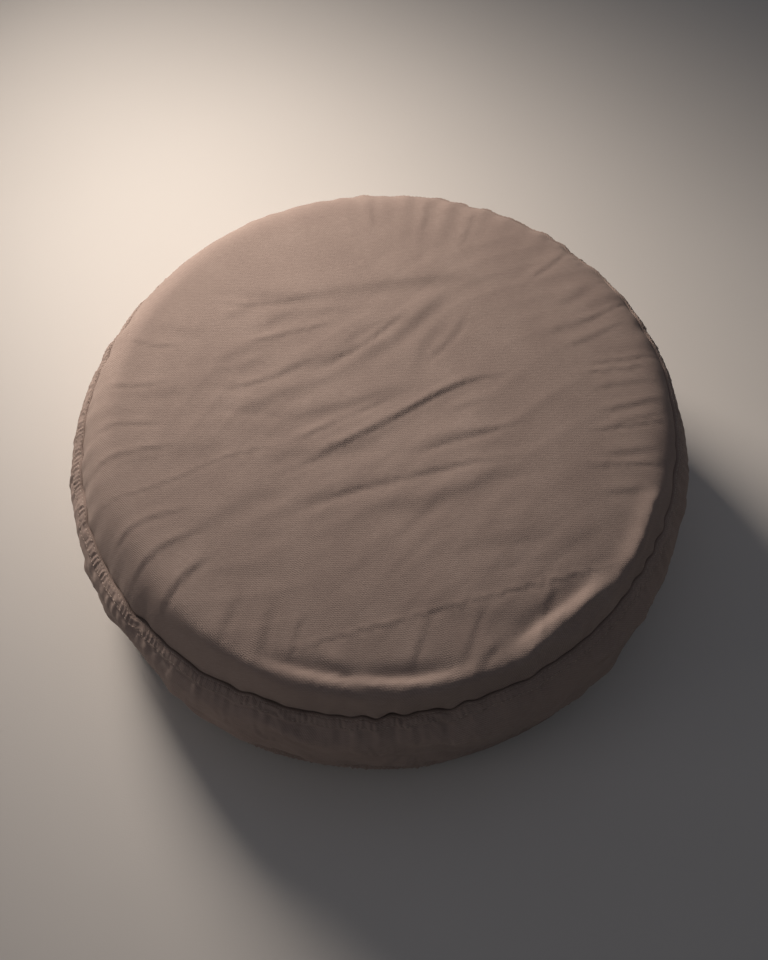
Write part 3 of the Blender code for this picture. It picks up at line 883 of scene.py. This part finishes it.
def clothMaterial(name):
    look = cloths[name]
    rough = look["roughness"]
    shader = {
        "Roughness": rough,
        "IOR": 1.5,
        "Specular IOR Level": 0.22,
        "Sheen Weight": look["sheen"],  # short loose fibres catch grazing light
        "Sheen Roughness": 0.45,
        "Sheen Tint": hexColour(look["sheenTint"]),
    }
    material, tree, surface = startMaterial(name, shader, look["colours"][1])
    flat = addNode(tree, "ShaderNodeUVMap", uv_map="grain").outputs["UV"]
    fuzz = addNode(tree, "ShaderNodeTexNoise", {"Vector": flat, "Scale": 900.0, "Detail": 2.0})
    ribScale = bandScale(look["rib"]) * 2 / math.sqrt(2)  # diagonal bands step half as fast
    rib = addNode(
        tree,
        "ShaderNodeTexWave",
        {"Vector": flat, "Scale": ribScale, "Distortion": 1.6, "Detail": 1.0, "Detail Scale": 3.0},
        bands_direction="DIAGONAL",
    )
    weft = addNode(
        tree,
        "ShaderNodeTexWave",
        {"Vector": flat, "Scale": bandScale(look["rib"] * 1.1), "Distortion": 2.2, "Detail": 1.0},
        bands_direction="Y",
    )
    yarns = {0: weft.outputs["Fac"], 1: 0.4, 2: rib.outputs["Fac"]}
    yarns = addNode(tree, "ShaderNodeMath", yarns, operation="MULTIPLY_ADD")
    height = {0: fuzz.outputs["Fac"], 1: 0.5, 2: yarns.outputs[0]}
    height = addNode(tree, "ShaderNodeMath", height, operation="MULTIPLY_ADD").outputs[0]

    # slubs, thick places 6 mm apart drawn out along the weft, over soft washed patches
    drawn = addNode(tree, "ShaderNodeMapping", {"Vector": flat, "Scale": (1.0, 5.5, 1.0)})
    slub = {"Vector": drawn.outputs["Vector"], "Scale": 165.0, "Detail": 3.0}
    slub = addNode(tree, "ShaderNodeTexNoise", slub)
    washed = addNode(tree, "ShaderNodeTexNoise", {"Vector": flat, "Scale": 22.0, "Detail": 4.0})
    slubShare = {0: slub.outputs["Fac"], 1: 0.45}
    slubShare = addNode(tree, "ShaderNodeMath", slubShare, operation="MULTIPLY")
    tone = {0: washed.outputs["Fac"], 1: 0.55, 2: slubShare.outputs[0]}
    tone = addNode(tree, "ShaderNodeMath", tone, operation="MULTIPLY_ADD")
    colour = ramp(tree, tone.outputs[0], list(zip((0.30, 0.52, 0.72), look["colours"])))

    # painted shade and highlight: the base colour is darker in the grooves between ribs and a little lighter
    # on their crests, with random fibre tone from the fuzz noise in the same height
    paintedRibShadeAndFuzzTone = {"Value": height, "From Min": 0.2, "From Max": 1.5, "To Min": 0.87, "To Max": 1.06}
    paintedRibShadeAndFuzzTone = addNode(tree, "ShaderNodeMapRange", paintedRibShadeAndFuzzTone)
    shaded = addNode(tree, "ShaderNodeVectorMath", {0: colour, 1: paintedRibShadeAndFuzzTone.outputs[0]}, operation="MULTIPLY")
    tree.links.new(shaded.outputs[0], surface.inputs["Base Color"])
    worn = {"Value": washed.outputs["Fac"], "From Min": 0.3, "From Max": 0.7}
    worn = addNode(tree, "ShaderNodeMapRange", {**worn, "To Min": rough - 0.05, "To Max": rough + 0.05})
    tree.links.new(worn.outputs[0], surface.inputs["Roughness"])
    bump = {"Height": height, "Strength": 0.55, "Distance": look["ribDepth"]}
    bump = addNode(tree, "ShaderNodeBump", bump)
    tree.links.new(bump.outputs["Normal"], surface.inputs["Normal"])
    return material


# the rest: patch is how many patches of colour to a metre, grit how many bumps
solids = {
    # spun polyester sewing thread, dyed to match: two plies give a fine uneven sheen
    "spun_polyester_thread": {
        "shader": {"IOR": 1.5, "Sheen Weight": 0.15, "Specular IOR Level": 0.35},
        "colours": ("#96857a", "#b3a397"),
        "patch": 500.0,
        "grit": 2600.0,
        "depth": 0.00015,
        "roughness": (0.60, 0.80),
    },
    # nylon monofilament, melt-spun and heat set in a coil: smooth, with small soft highlights
    "nylon_coil": {
        "shader": {"IOR": 1.53, "Specular IOR Level": 0.5},
        "colours": ("#64544b", "#74635a"),
        "patch": 160.0,
        "grit": 1800.0,
        "depth": 0.00004,
        "roughness": (0.32, 0.46),
    },
    # die-cast zinc, nickel plated and tumbled: bright, with fine rubbing marks
    "nickel_plated_zinc": {
        "shader": {"Metallic": 1.0},
        "colours": ("#b3aca1", "#cbc5ba"),
        "patch": 240.0,
        "grit": 3200.0,
        "depth": 0.00003,
        "roughness": (0.22, 0.38),
    },
    # open-cell polyurethane foam, cut: dry and porous, a little yellowed
    "polyurethane_foam": {
        "shader": {"IOR": 1.45, "Specular IOR Level": 0.15},
        "colours": ("#e0d5b4", "#ece3c8"),
        "patch": 18.0,
        "grit": 700.0,
        "depth": 0.0006,
        "roughness": (0.88, 0.98),
    },
    # bonded polyester wadding: loose white fibres
    "polyester_wadding": {
        "shader": {"IOR": 1.45, "Specular IOR Level": 0.2, "Sheen Weight": 0.35},
        "colours": ("#e6e6e2", "#f3f3ef"),
        "patch": 40.0,
        "grit": 420.0,
        "depth": 0.0012,
        "roughness": (0.85, 0.98),
    },
    # seamless paper: matt and pale, with a barely visible tooth
    "studio_paper": {
        "shader": {"IOR": 1.4, "Specular IOR Level": 0.1},
        "colours": ("#d3d0cc", "#d6d3cf"),
        "patch": 3.0,
        "grit": 900.0,
        "depth": 0.0001,
        "roughness": (0.92, 0.98),
    },
}


def solidMaterial(name):
    look = solids[name]
    material, tree, surface = startMaterial(name, look["shader"], look["colours"][0])
    place = addNode(tree, "ShaderNodeTexCoord").outputs["Object"]
    patches = addNode(tree, "ShaderNodeTexNoise", {"Vector": place, "Scale": look["patch"], "Detail": 4.0})
    grit = addNode(tree, "ShaderNodeTexNoise", {"Vector": place, "Scale": look["grit"], "Detail": 3.0})
    colour = ramp(tree, patches.outputs["Fac"], list(zip((0.35, 0.65), look["colours"])))
    tree.links.new(colour, surface.inputs["Base Color"])
    smooth, dull = look["roughness"]
    rough = {"Value": grit.outputs["Fac"], "From Min": 0.3, "From Max": 0.7}
    rough = addNode(tree, "ShaderNodeMapRange", {**rough, "To Min": smooth, "To Max": dull})
    tree.links.new(rough.outputs[0], surface.inputs["Roughness"])
    bump = {"Height": grit.outputs["Fac"], "Strength": 0.6, "Distance": look["depth"]}
    bump = addNode(tree, "ShaderNodeBump", bump)
    tree.links.new(bump.outputs["Normal"], surface.inputs["Normal"])
    return material


cottonTwill = clothMaterial("washed_cotton_twill")
cottonMuslin = clothMaterial("cotton_muslin")
zipTape = clothMaterial("woven_polyester_tape")
satinLabel = clothMaterial("woven_satin_label")
sewingThread = solidMaterial("spun_polyester_thread")
coilNylon = solidMaterial("nylon_coil")
platedZinc = solidMaterial("nickel_plated_zinc")
cutFoam = solidMaterial("polyurethane_foam")
wadding = solidMaterial("polyester_wadding")

# top panel, finished
overFold = foldHeights(topForm[:, 0], topForm[:, 1], pressedLines, valley=0.9)
overFold += 0.8 * foldHeights(topForm[:, 0], topForm[:, 1], rimFolds)
overFold += edgePuckers(topAngle, topFromSeam, 21) * 0.6
overFold += crumple(topForm[:, 0], topForm[:, 1])
topMoves = calm(topSettled - topForm, topFaces, topPanel["calmed"])
topMoves *= (0.82 - 0.66 * ease(topShare, 0.72, 0.84))[:, None]  # least at the shoulder
overFold += foldHeights(topForm[:, 0], topForm[:, 1], fineFolds, valley=0.7)
overFold += topPanel["foldKeep"] * foldHeights(topForm[:, 0], topForm[:, 1], crownFolds)
topPoints = topForm + topMoves + topNormals * (
    overFold * overCrown
    - topPanel["ditch"] * np.exp(-topFromSeam / topPanel["ditchReach"])
)[:, None]
topGrain = np.stack([topFlat[:, 0], topFlat[:, 1]], axis=1)
coverTop = makeObject("cover_top", topPoints, topFaces, grain=topGrain)
settle(coverTop, cottonTwill, "taupe_cotton", "cover_top_panel", fill=0.8, cloth=topPanel["cloth"])
rounder = coverTop.modifiers.new("rounder", "SUBSURF")
rounder.levels = 1
rounder.render_levels = 1
say("cover top is done")


# side pieces, cut from the settled sleeve
def rowShares(angleDegrees, kind):
    # heights of the rows as shares of the sleeve, fine by the seams and the folded edges
    around = side["around"]
    u = angleDegrees / 360 * around
    grid = np.linspace(0, 1, side["rows"] * 4)
    heights = sampleGrid(sleeveForm, np.full(len(grid), u), grid * (side["rows"] - 1))
    tall = np.interp(u % around, np.arange(around + 1), np.append(sleeveTall, sleeveTall[0]))
    fine = np.array(side["seamRows"]) / 1000 / tall
    low = fine
    high = 1 - fine[::-1]
    folded = np.array(side["foldedRows"]) / 1000 / tall
    if kind == "upper":
        start = np.interp(form["zipHeight"] + side["zipGap"], heights[:, 2], grid)
        return np.concatenate([start + folded, np.linspace(start + folded[-1], high[0], 16)[1:-1], high])
    if kind == "lower":
        stop = np.interp(form["zipHeight"] - side["zipGap"], heights[:, 2], grid)
        return np.concatenate([low, np.linspace(low[-1], stop - folded[-1], 16)[1:-1], stop - folded[::-1]])
    return np.concatenate([low, np.linspace(low[-1], high[0], 36)[1:-1], high])


def seamRelief(angle, down, tall, seed):
    # the felled strip stands proud, dips at its rows of stitches and ruckles between them
    width = side["stripWidth"]
    raised = side["stripLift"] * (1 - ease(down, width - 0.0005, width + 0.0007))
    ditch = -0.0013 * np.exp(-down / 0.0008)
    rows = np.exp(-(((down - 0.0015) / 0.0006) ** 2)) + np.exp(-(((down - 0.0075) / 0.0006) ** 2))
    ladder = 0.7 * ringWave(angle, seed, 260, 460) + 0.5 * ringWave(angle, seed + 1, 110, 220)
    between = ease(down, 0.0008, 0.003) * (1 - ease(down, 0.0072, 0.0088))
    below = ease(down, 0.008, 0.010) * np.exp(-np.maximum(down - 0.009, 0) / 0.010)
    pull = ringWave(angle, seed + 2, 60, 200)
    return raised + ditch - 0.00045 * rows + 0.00026 * ladder * between + 0.00045 * pull * below


def turnIn(points, grain, turns, edge, climb):
    # the seam allowance, turned in behind the panel
    inward = -np.stack([np.cos(turns[:, 0]), np.sin(turns[:, 0]), 0 * turns[:, 0]], axis=1)
    rows = []
    for reach, drop in ((0.0016, 0.0008), (0.0040, 0.0024), (0.0062, 0.0048)):
        rows.append(points[:, edge] + inward * reach - np.array([0, 0, drop * climb]))
    extra = np.stack(rows, axis=1)
    along = np.array([0.0016, 0.0040, 0.0062])[None, :, None] * np.array([0.0, climb])
    extraGrain = grain[:, edge][:, None] + along
    if climb > 0:
        return np.concatenate([points, extra], axis=1), np.concatenate([grain, extraGrain], axis=1)
    return (
        np.concatenate([extra[:, ::-1], points], axis=1),
        np.concatenate([extraGrain[:, ::-1], grain], axis=1),
    )


def sidePiece(name, kind, first, last, node):
    count = int((last - first) * side["finePerDegree"]) + 1
    bearings = np.linspace(first, last, count)
    shares = np.array([rowShares(b, kind) for b in bearings])
    turns = np.radians(bearings)[:, None] + 0 * shares
    u = turns / (2 * math.pi) * side["around"]
    v = shares * (side["rows"] - 1)
    points = sampleGrid(sleeveSettled, u, v)
    base = sampleGrid(sleeveForm, u, v)
    normals = gridNormals(base)
    tall = np.interp(u % side["around"], np.arange(side["around"] + 1), np.append(sleeveTall, sleeveTall[0]))
    relief = seamRelief(turns, (1 - shares) * tall, tall, 31)
    relief += seamRelief(turns, shares * tall, tall, 41)
    bearing = np.degrees(turns)
    clear = ease(shares, 0.10, 0.22) * (1 - ease(shares, 0.80, 0.90)) * (1 - zipHeld(bearing, base[:, :, 2]))
    relief += side["foldKeep"] * sideBumps(bearing % 360, shares) * clear
    if kind != "front":
        # folded edge beside the zip: two layers thick, held by one row of stitches
        fromZip = np.abs(base[:, :, 2] - form["zipHeight"]) - side["zipGap"]
        relief += 0.0005 * (1 - ease(fromZip, 0.0045, 0.006)) * ease(fromZip, -0.0002, 0.0006)
        relief -= 0.00022 * np.exp(-(((fromZip - 0.0015) / 0.0006) ** 2))
        relief += 0.00012 * ringWave(turns, 51, 150, 360) * np.exp(-fromZip / 0.004)
    points = points + normals * relief[:, :, None]
    grain = np.stack([turns * form["meanRadius"], shares * tall], axis=2)
    sewn = points
    if kind != "lower":
        sewn, grain = turnIn(sewn, grain, turns, -1, 1)
    if kind != "upper":
        sewn, grain = turnIn(sewn, grain, turns, 0, -1)
    faces = gridFaces(*sewn.shape[:2])
    piece = makeObject(name, sewn.reshape(-1, 3), faces, grain=grain.reshape(-1, 2))
    settle(piece, cottonTwill, "taupe_cotton", node, fill=0.8, cloth=side["cloth"])
    return points, normals, shares * tall, tall


frontBand = sidePiece("cover_band_front", "front", side["zipTo"], 360 + side["zipFrom"], "cover_front_band")
upperStrip = sidePiece("cover_strip_upper", "upper", side["zipFrom"], side["zipTo"], "cover_zip_strip_upper")
lowerStrip = sidePiece("cover_strip_lower", "lower", side["zipFrom"], side["zipTo"], "cover_zip_strip_lower")
say("side pieces are done")

# base panel
basePanel = {"around": 540, "cloth": 0.0008, "seamRows": [0, 0.5, 1, 1.5, 2.2, 3, 4, 5.2, 6.6, 8.2, 10, 12]}


def footLine(angle, steps):
    x, y, z = footRing(np.array([angle]))
    centreX, centreY = form["footCentre"]
    seamR = math.hypot(x[0] - centreX, y[0] - centreY)
    flat = form["footFlat"]
    u = np.linspace(0.0, 1.0, 90)
    cornerR = flat + 0.021
    weights = [(1 - u) ** 2, 2 * 1.3 * u * (1 - u), u * u]
    total = sum(weights)
    r = (weights[0] * seamR + weights[1] * cornerR + weights[2] * flat) / total
    height = (weights[0] * z[0] + weights[2] * 0.0) / total
    r = np.append(r, np.linspace(flat, 0.0, 60)[1:])
    height = np.append(height, np.zeros(59))
    line = np.stack([r, height], axis=1)
    length = lengthsAlong(line)
    even = np.append(np.array(basePanel["seamRows"]) / 1000, np.linspace(0.014, length[-1], steps))
    r, height = pickAt(line, length, even).T
    points = [centreX + r * math.cos(angle), centreY + r * math.sin(angle), height]
    return np.stack(points, axis=1), even


def makeBase():
    around = basePanel["around"]
    lines = [footLine(2 * math.pi * k / around, 60) for k in range(around)]
    points = np.array([line for line, _ in lines])[:, :-1]
    fromSeam = np.array([even for _, even in lines])[:, :-1]
    turns = (np.arange(around) * 2 * math.pi / around)[:, None] + 0 * fromSeam
    normals = -gridNormals(points, closed=True)  # this grid runs in under the cushion
    random = np.random.default_rng(17)
    shift = random.uniform(0, 6, 8)
    x = points[:, :, 0]
    y = points[:, :, 1]
    ripple = np.sin(42 * x + 18 * y + shift[0]) * np.sin(23 * y - 15 * x + shift[1])
    ripple = 0.0006 * (0.5 + 0.5 * ripple) * ease(fromSeam, 0.02, 0.06)
    relief = edgePuckers(turns, fromSeam, 61) * 0.8 - 0.0014 * np.exp(-fromSeam / 0.0012)
    points = points + normals * relief[:, :, None]
    points[:, :, 2] = np.maximum(points[:, :, 2] + ripple, 0.00005)
    flatPoints = points.reshape(-1, 3)
    columns = points.shape[1]
    faces = gridFaces(around, columns, closed=True)
    centre = len(flatPoints)
    flatPoints = np.vstack([flatPoints, [[form["footCentre"][0], form["footCentre"][1], 0.0003]]])
    for k in range(around):
        faces.append((k * columns + columns - 1, (k + 1) % around * columns + columns - 1, centre))
    faces = [f[::-1] for f in faces]
    piece = makeObject("cover_base", flatPoints, faces, grain=flatPoints[:, :2])
    settle(piece, cottonTwill, "taupe_cotton", "cover_bottom_panel", fill=0.8, cloth=basePanel["cloth"])


makeBase()
say("base is done")

# lockstitch rows: each stitch a short length of thread that dives into the cloth at both ends
stitch = {
    "length": 0.0027,
    "gap": 0.0006,
    "radius": 0.0003,
    "sides": 6,
    "fromZip": 0.0065,
    "fromSeam": (0.0015, 0.0075),
}


def tubeFaces(rings, sides, start):
    # a tube through that many rings of points, closed at both ends
    faces = []
    for i in range(rings - 1):
        for j in range(sides):
            a = start + i * sides + j
            b = start + i * sides + (j + 1) % sides
            faces.append((a, b, b + sides, a + sides))
    faces.append(tuple(start + j for j in reversed(range(sides))))
    faces.append(tuple(start + (rings - 1) * sides + j for j in range(sides)))
    return faces


def stitchRow(name, line, normals, node):
    step = lengthsAlong(line)
    pitch = stitch["length"] + stitch["gap"]
    count = int(step[-1] / pitch)
    starts = (np.arange(count) + 0.5) * step[-1] / count - stitch["length"] / 2
    # six rings to a stitch: where along it, how thick, and how far clear of the cloth
    parts = np.array([0.0, 0.12, 0.35, 0.65, 0.88, 1.0])
    thick = np.array([0.35, 0.85, 1.0, 1.0, 0.85, 0.35]) * stitch["radius"]
    rise = np.array([-0.35, 0.25, 0.75, 0.75, 0.25, -0.35]) * stitch["radius"]
    places = starts[:, None] + parts[None, :] * stitch["length"]
    centre = pickAt(line, step, places)
    normal = unit(pickAt(normals, step, places))
    across = np.cross(unit(np.gradient(centre, axis=1)), normal)
    centre = centre + normal * rise[None, :, None]
    sides = stitch["sides"]
    turn = (np.arange(sides) * 2 * math.pi / sides)[None, None, :, None]
    ring = normal[:, :, None] * np.cos(turn) + across[:, :, None] * np.sin(turn)
    points = centre[:, :, None] + ring * thick[None, :, None, None]
    faces = []
    for k in range(count):
        faces += tubeFaces(len(parts), sides, k * len(parts) * sides)
    piece = makeObject(name, points.reshape(-1, 3), faces)
    settle(piece, sewingThread, "taupe_thread", node)


def seamLine(piece, distance, fromTop):
    # a line along a side piece, at that distance from its seam
    points, normals, up, tall = piece
    level = tall[:, 0] - distance if fromTop else 0 * tall[:, 0] + distance
    line = [pickAt(*row) for row in zip(points, up, level)]
    outward = [pickAt(*row) for row in zip(normals, up, level)]
    return np.array(line), np.array(outward)


def levelLine(piece, height):
    # a line along a side piece, at that height above the floor
    points, normals = piece[:2]
    line = [pickAt(row, row[:, 2], height) for row in points]
    outward = [pickAt(out, row[:, 2], height) for row, out in zip(points, normals)]
    return np.array(line), np.array(outward)


for row, distance in zip(("first", "second"), stitch["fromSeam"]):
    for seam, strip in (("top", upperStrip), ("bottom", lowerStrip)):
        frontLine, frontOut = seamLine(frontBand, distance, seam == "top")
        backLine, backOut = seamLine(strip, distance, seam == "top")
        line = np.vstack([frontLine[:-1], backLine])
        outward = np.vstack([frontOut[:-1], backOut])
        stitchRow(f"stitches_{seam}_{row}", line, outward, f"{seam}_seam_stitch_row_{row}")

for edge, strip, sign in (("upper", upperStrip, 1), ("lower", lowerStrip, -1)):
    line, outward = levelLine(strip, form["zipHeight"] + sign * stitch["fromZip"])
    stitchRow(f"stitches_zip_{edge}", line, outward, f"zip_stitch_row_{edge}")
say("stitches are done")

# zip chain
chain = {
    "coilHalf": 71.67,
    "pitch": 0.0014,
    "wire": 0.00027,
    "coilRadius": 0.22304,
    "coilOffset": 0.00178,
    "coilAcross": 0.00112,
    "coilDeep": 0.00098,
    "tapeHalf": 76.9,
    "tapeFrom": 0.00350,
    "tapeTo": 0.0150,
    "tapeThick": 0.0006,
}


def makeCoil(edge, sign):
    half = math.radians(chain["coilHalf"])
    length = 2 * half * chain["coilRadius"]
    turns = int(length / chain["pitch"])
    perTurn = 14
    t = np.arange(turns * perTurn + 1) / perTurn
    phase = 2 * math.pi * t + (0 if sign > 0 else math.pi)
    angle = math.pi / 2 - half + 2 * half * t / turns
    radius = chain["coilRadius"] + chain["coilDeep"] * np.sin(phase)
    # the loops' noses at the meeting edge are pressed flatter than their backs
    z = form["zipHeight"] + sign * (chain["coilOffset"] - chain["coilAcross"] * np.cos(phase))
    line = np.stack([radius * np.cos(angle), radius * np.sin(angle), z], axis=1)
    along = unit(np.gradient(line, axis=0))
    outward = np.stack([np.cos(angle), np.sin(angle), 0 * angle], axis=1)
    across = unit(np.cross(along, outward))
    normal = np.cross(across, along)
    sides = 6
    spin = (np.arange(sides) * 2 * math.pi / sides)[None, :, None]
    ring = normal[:, None] * np.cos(spin) + across[:, None] * np.sin(spin)
    points = line[:, None] + ring * chain["wire"]
    piece = makeObject(f"coil_{edge}", points.reshape(-1, 3), tubeFaces(len(line), sides, 0))
    settle(piece, coilNylon, "zip_coil_nylon", f"zip_coil_{edge}")


def makeTape(edge, sign):
    half = math.radians(chain["tapeHalf"])
    turns = np.linspace(math.pi / 2 - half, math.pi / 2 + half, 420)[:, None]
    offset = np.linspace(chain["tapeFrom"], chain["tapeTo"], 13)[None, :]
    if sign < 0:
        offset = offset[:, ::-1]
    z = form["zipHeight"] + sign * offset + 0 * turns
    radius = sideCurve(0.22334, z) + 0.00008 * np.sin(turns * 260) * ease(offset, 0.009, 0.015)
    points = np.stack([radius * np.cos(turns), radius * np.sin(turns), z], axis=2)
    grain = np.stack([turns * 0.223 + 0 * z, z], axis=2).reshape(-1, 2)
    piece = makeObject(f"tape_{edge}", points.reshape(-1, 3), gridFaces(*points.shape[:2]), grain=grain)
    settle(piece, zipTape, "zip_tape_polyester", f"zip_tape_{edge}", cloth=chain["tapeThick"])


for edge, sign in (("upper", 1), ("lower", -1)):
    makeCoil(edge, sign)
    makeTape(edge, sign)
say("zip chain is done")

# metal fittings keep their CAD shape
for name in ("slider_body", "pull_tab", "bottom_stop", "top_stop_upper", "top_stop_lower"):
    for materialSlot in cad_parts["zip_" + name].material_slots:
        materialSlot.material = platedZinc

# what fills the cover: inner case, wadding and foam
filling = {
    "caseOut": 0.0054,  # below the cover, clear of the valleys of its folds
    "caseCloth": 0.0005,
    "padOut": 0.0066,
    "waddingThick": 0.020,
    "waddingLeast": 0.003,
    "foamGap": 0.0006,
    "around": 240,
}


def insetLine(angle, inset):
    over, _ = crownLine(angle, 90)
    down, _ = sideLine(angle, 60)
    under, _ = footLine(angle, 60)
    line = np.vstack([over[:-1], down[::-1][:-1], under])
    outward = np.array([math.cos(angle), math.sin(angle)])
    flat = np.stack([line[:, :2] @ outward, line[:, 2]], axis=1)
    tangent = unit(np.gradient(flat, axis=0))
    kernel = np.ones(7) / 7
    for i in range(2):
        tangent[:, i] = np.convolve(np.pad(tangent[:, i], 3, mode="edge"), kernel, mode="valid")
    normal = unit(np.stack([-tangent[:, 1], tangent[:, 0]], axis=1))
    moved = flat - inset * normal
    moved[:, 0] = np.maximum(moved[:, 0], 0.0)
    moved[:, 1] = np.maximum(moved[:, 1], inset)
    return moved, len(over) - 1, len(over) + len(down) - 2


def revolve(name, sections, closedEnds, wobble=0.0):
    # sections: radius and height along a line, for each bearing
    sections = np.array(sections)
    around, steps = sections.shape[:2]
    angle = np.arange(around)[:, None] * 2 * math.pi / around
    r = sections[:, :, 0]
    z = sections[:, :, 1]
    if wobble:
        r = r - wobble * (0.5 + 0.5 * np.sin(3 * ringWave(angle + 0 * r, 72, 8, 60)))
    points = np.stack([r * np.cos(angle), r * np.sin(angle), z], axis=2)
    faces = [f[::-1] for f in gridFaces(around, steps, closed=True)]
    flat = points.reshape(-1, 3)
    if closedEnds:
        first = len(flat)
        flat = np.vstack([flat, [points[:, 0].mean(axis=0)], [points[:, -1].mean(axis=0)]])
        for k in range(around):
            after = (k + 1) % around
            faces.append((first, k * steps, after * steps))
            faces.append((first + 1, after * steps + steps - 1, k * steps + steps - 1))
    grain = np.stack([flat[:, 0], flat[:, 1]], axis=1)
    if not closedEnds:
        across = angle * 0.22 + 0 * r
        grain = np.stack([across, z], axis=2).reshape(-1, 2)
    return makeObject(name, flat, faces, grain=grain)


def cut(section, low, high, steps):
    # an even stretch of a section, between two of its indices
    part = section[low : high + 1]
    length = lengthsAlong(part)
    return pickAt(part, length, np.linspace(0, length[-1], steps))


layers = {name: [] for name in ("caseTop", "caseSide", "caseBase", "padTop", "padBase", "foam")}
for k in range(filling["around"]):
    bearing = 2 * math.pi * k / filling["around"]
    section, seamAt, footAt = insetLine(bearing, filling["caseOut"])
    layers["caseTop"].append(cut(section, 1, seamAt, 70))
    layers["caseSide"].append(cut(section, seamAt, footAt, 40))
    layers["caseBase"].append(cut(section, footAt, len(section) - 2, 60))
    section, seamAt, footAt = insetLine(bearing, filling["padOut"])
    outerTop = cut(section, 1, seamAt, 60)
    outerSide = cut(section, seamAt, footAt, 30)
    outerBase = cut(section, footAt, len(section) - 2, 60)
    thick = filling["waddingThick"]
    least = filling["waddingLeast"]
    # the wadding thins to almost nothing at its edge, where the seam nips it
    underTop = outerTop.copy()
    underTop[:, 1] -= thick * (1 - ease(outerTop[:, 0], 0.170, 0.205)) + least
    underTop[:, 1] = np.maximum(underTop[:, 1], outerTop[-1, 1] - least)
    overBase = outerBase.copy()
    overBase[:, 1] += thick * (1 - ease(outerBase[:, 0], 0.165, 0.203)) * 0.8 + least
    overBase[:, 1] = np.minimum(overBase[:, 1], outerBase[0, 1] + least)
    layers["padTop"].append(np.vstack([outerTop, underTop[::-1]]))
    layers["padBase"].append(np.vstack([overBase[::-1], outerBase]))
    foamTop = underTop - np.array([0.0, filling["foamGap"]])
    foamBase = overBase + np.array([0.0, filling["foamGap"]])
    sides = outerSide[1:-1].copy()
    keep = (sides[:, 1] < foamTop[-1, 1]) & (sides[:, 1] > foamBase[0, 1])
    sides = cut(sides[keep], 0, keep.sum() - 1, 24)
    layers["foam"].append(np.vstack([foamTop, sides, foamBase]))

case = {"fill": 0.9, "cloth": filling["caseCloth"]}
piece = revolve("inner_case_top", layers["caseTop"], True)
settle(piece, cottonMuslin, "white_muslin", "case_top_panel", **case)
piece = revolve("inner_case_side", layers["caseSide"], False, wobble=0.0004)
settle(piece, cottonMuslin, "white_muslin", "case_side_band", **case)
piece = revolve("inner_case_base", layers["caseBase"], True)
settle(piece, cottonMuslin, "white_muslin", "case_bottom_panel", **case)
piece = revolve("fill_wadding_top", layers["padTop"], True)
settle(piece, wadding, "polyester_wadding", "wadding_top", fill=0.7)
piece = revolve("fill_wadding_base", layers["padBase"], True)
settle(piece, wadding, "polyester_wadding", "wadding_bottom", fill=0.7)
piece = revolve("fill_foam", layers["foam"], True)
settle(piece, cutFoam, "polyurethane_foam", "foam_core", fill=1.0)
say("filling is done")

# blank care label behind the lower tape
label = {
    "width": 0.030,
    "top": 0.0535,
    "height": 0.025,
    "inside": 0.22239,  # widest radius of its curve
    "bearing": 150.0,
    "thick": 0.0003,
}


def makeLabel():
    half = label["width"] / 2 / label["inside"]
    middle = math.radians(label["bearing"])
    turns = np.linspace(middle - half, middle + half, 25)[:, None]
    z = np.linspace(label["top"] - label["height"], label["top"], 21)[None, :] + 0 * turns
    radius = sideCurve(label["inside"], z) - 0.0002 * np.sin((turns - middle) * 70 + z * 90) ** 2
    points = np.stack([radius * np.cos(turns), radius * np.sin(turns), z], axis=2)
    grain = np.stack([turns * 0.222 + 0 * z, z], axis=2).reshape(-1, 2)
    piece = makeObject("care_tag", points.reshape(-1, 3), gridFaces(*points.shape[:2]), grain=grain)
    settle(piece, satinLabel, "label_satin", "care_label", cloth=label["thick"])


makeLabel()

# studio
studio = {
    "floor": 16.0,
    "keyPlace": (-0.58, 0.82, 0.60),
    "keyAim": (-0.10, 0.18, 0.12),
    "keySize": 0.42,
    "keyPower": 2.6,
    "keySpread": 60.0,
    "fillPlace": (0.2, 0.1, 1.7),
    "fillSize": 1.6,
    "fillPower": 0.6,
    "fillSpread": 180.0,
    "sidePlace": (-1.1, -0.50, 0.34),
    "sideSize": 0.5,
    "sidePower": 0.36,
    "sideSpread": 110.0,
    "skyStrength": 0.11,
    "backdrop": 0.20,
}


def areaLight(name, colour, aim):
    place = studio[name + "Place"]
    data = bpy.data.lights.new(name, "AREA")
    data.shape = "SQUARE"
    data.size = studio[name + "Size"]
    data.energy = studio[name + "Power"]
    data.spread = math.radians(studio[name + "Spread"])
    data.color = hexColour(colour)[:3]
    light = bpy.data.objects.new(name, data)
    light.location = place
    light.rotation_euler = (Vector(aim) - Vector(place)).to_track_quat("-Z", "Y").to_euler()
    scene.collection.objects.link(light)
    return light


def makeStudio():
    half = studio["floor"] / 2
    corners = [(-half, -half, 0), (half, -half, 0), (half, half, 0), (-half, half, 0)]
    floor = makeObject("studio_floor", corners, [(0, 1, 2, 3)], smooth=False)
    floor.data.materials.append(solidMaterial("studio_paper"))
    key = areaLight("key", "#fff1e4", studio["keyAim"])
    fill = areaLight("fill", "#e2dcff", (0, 0, 0.05))
    low = areaLight("side", "#f0e4e0", (-0.1, -0.1, 0.06))
    world = bpy.data.worlds.new("studio")
    world.use_nodes = True
    # a pale backdrop to look at, and far less light from it
    tree = world.node_tree
    sky = tree.nodes["Background"]
    sky.inputs["Color"].default_value = hexColour("#e9ecf2")
    sky.inputs["Strength"].default_value = studio["skyStrength"]
    pale = {"Color": hexColour("#d5d2ce"), "Strength": studio["backdrop"]}
    pale = addNode(tree, "ShaderNodeBackground", pale)
    seen = addNode(tree, "ShaderNodeLightPath").outputs["Is Camera Ray"]
    both = {0: seen, 1: sky.outputs[0], 2: pale.outputs[0]}
    both = addNode(tree, "ShaderNodeMixShader", both)
    tree.links.new(both.outputs[0], tree.nodes["World Output"].inputs["Surface"])
    scene.world = world
    scene.view_settings.view_transform = "Standard"


makeStudio()
say("studio is ready")
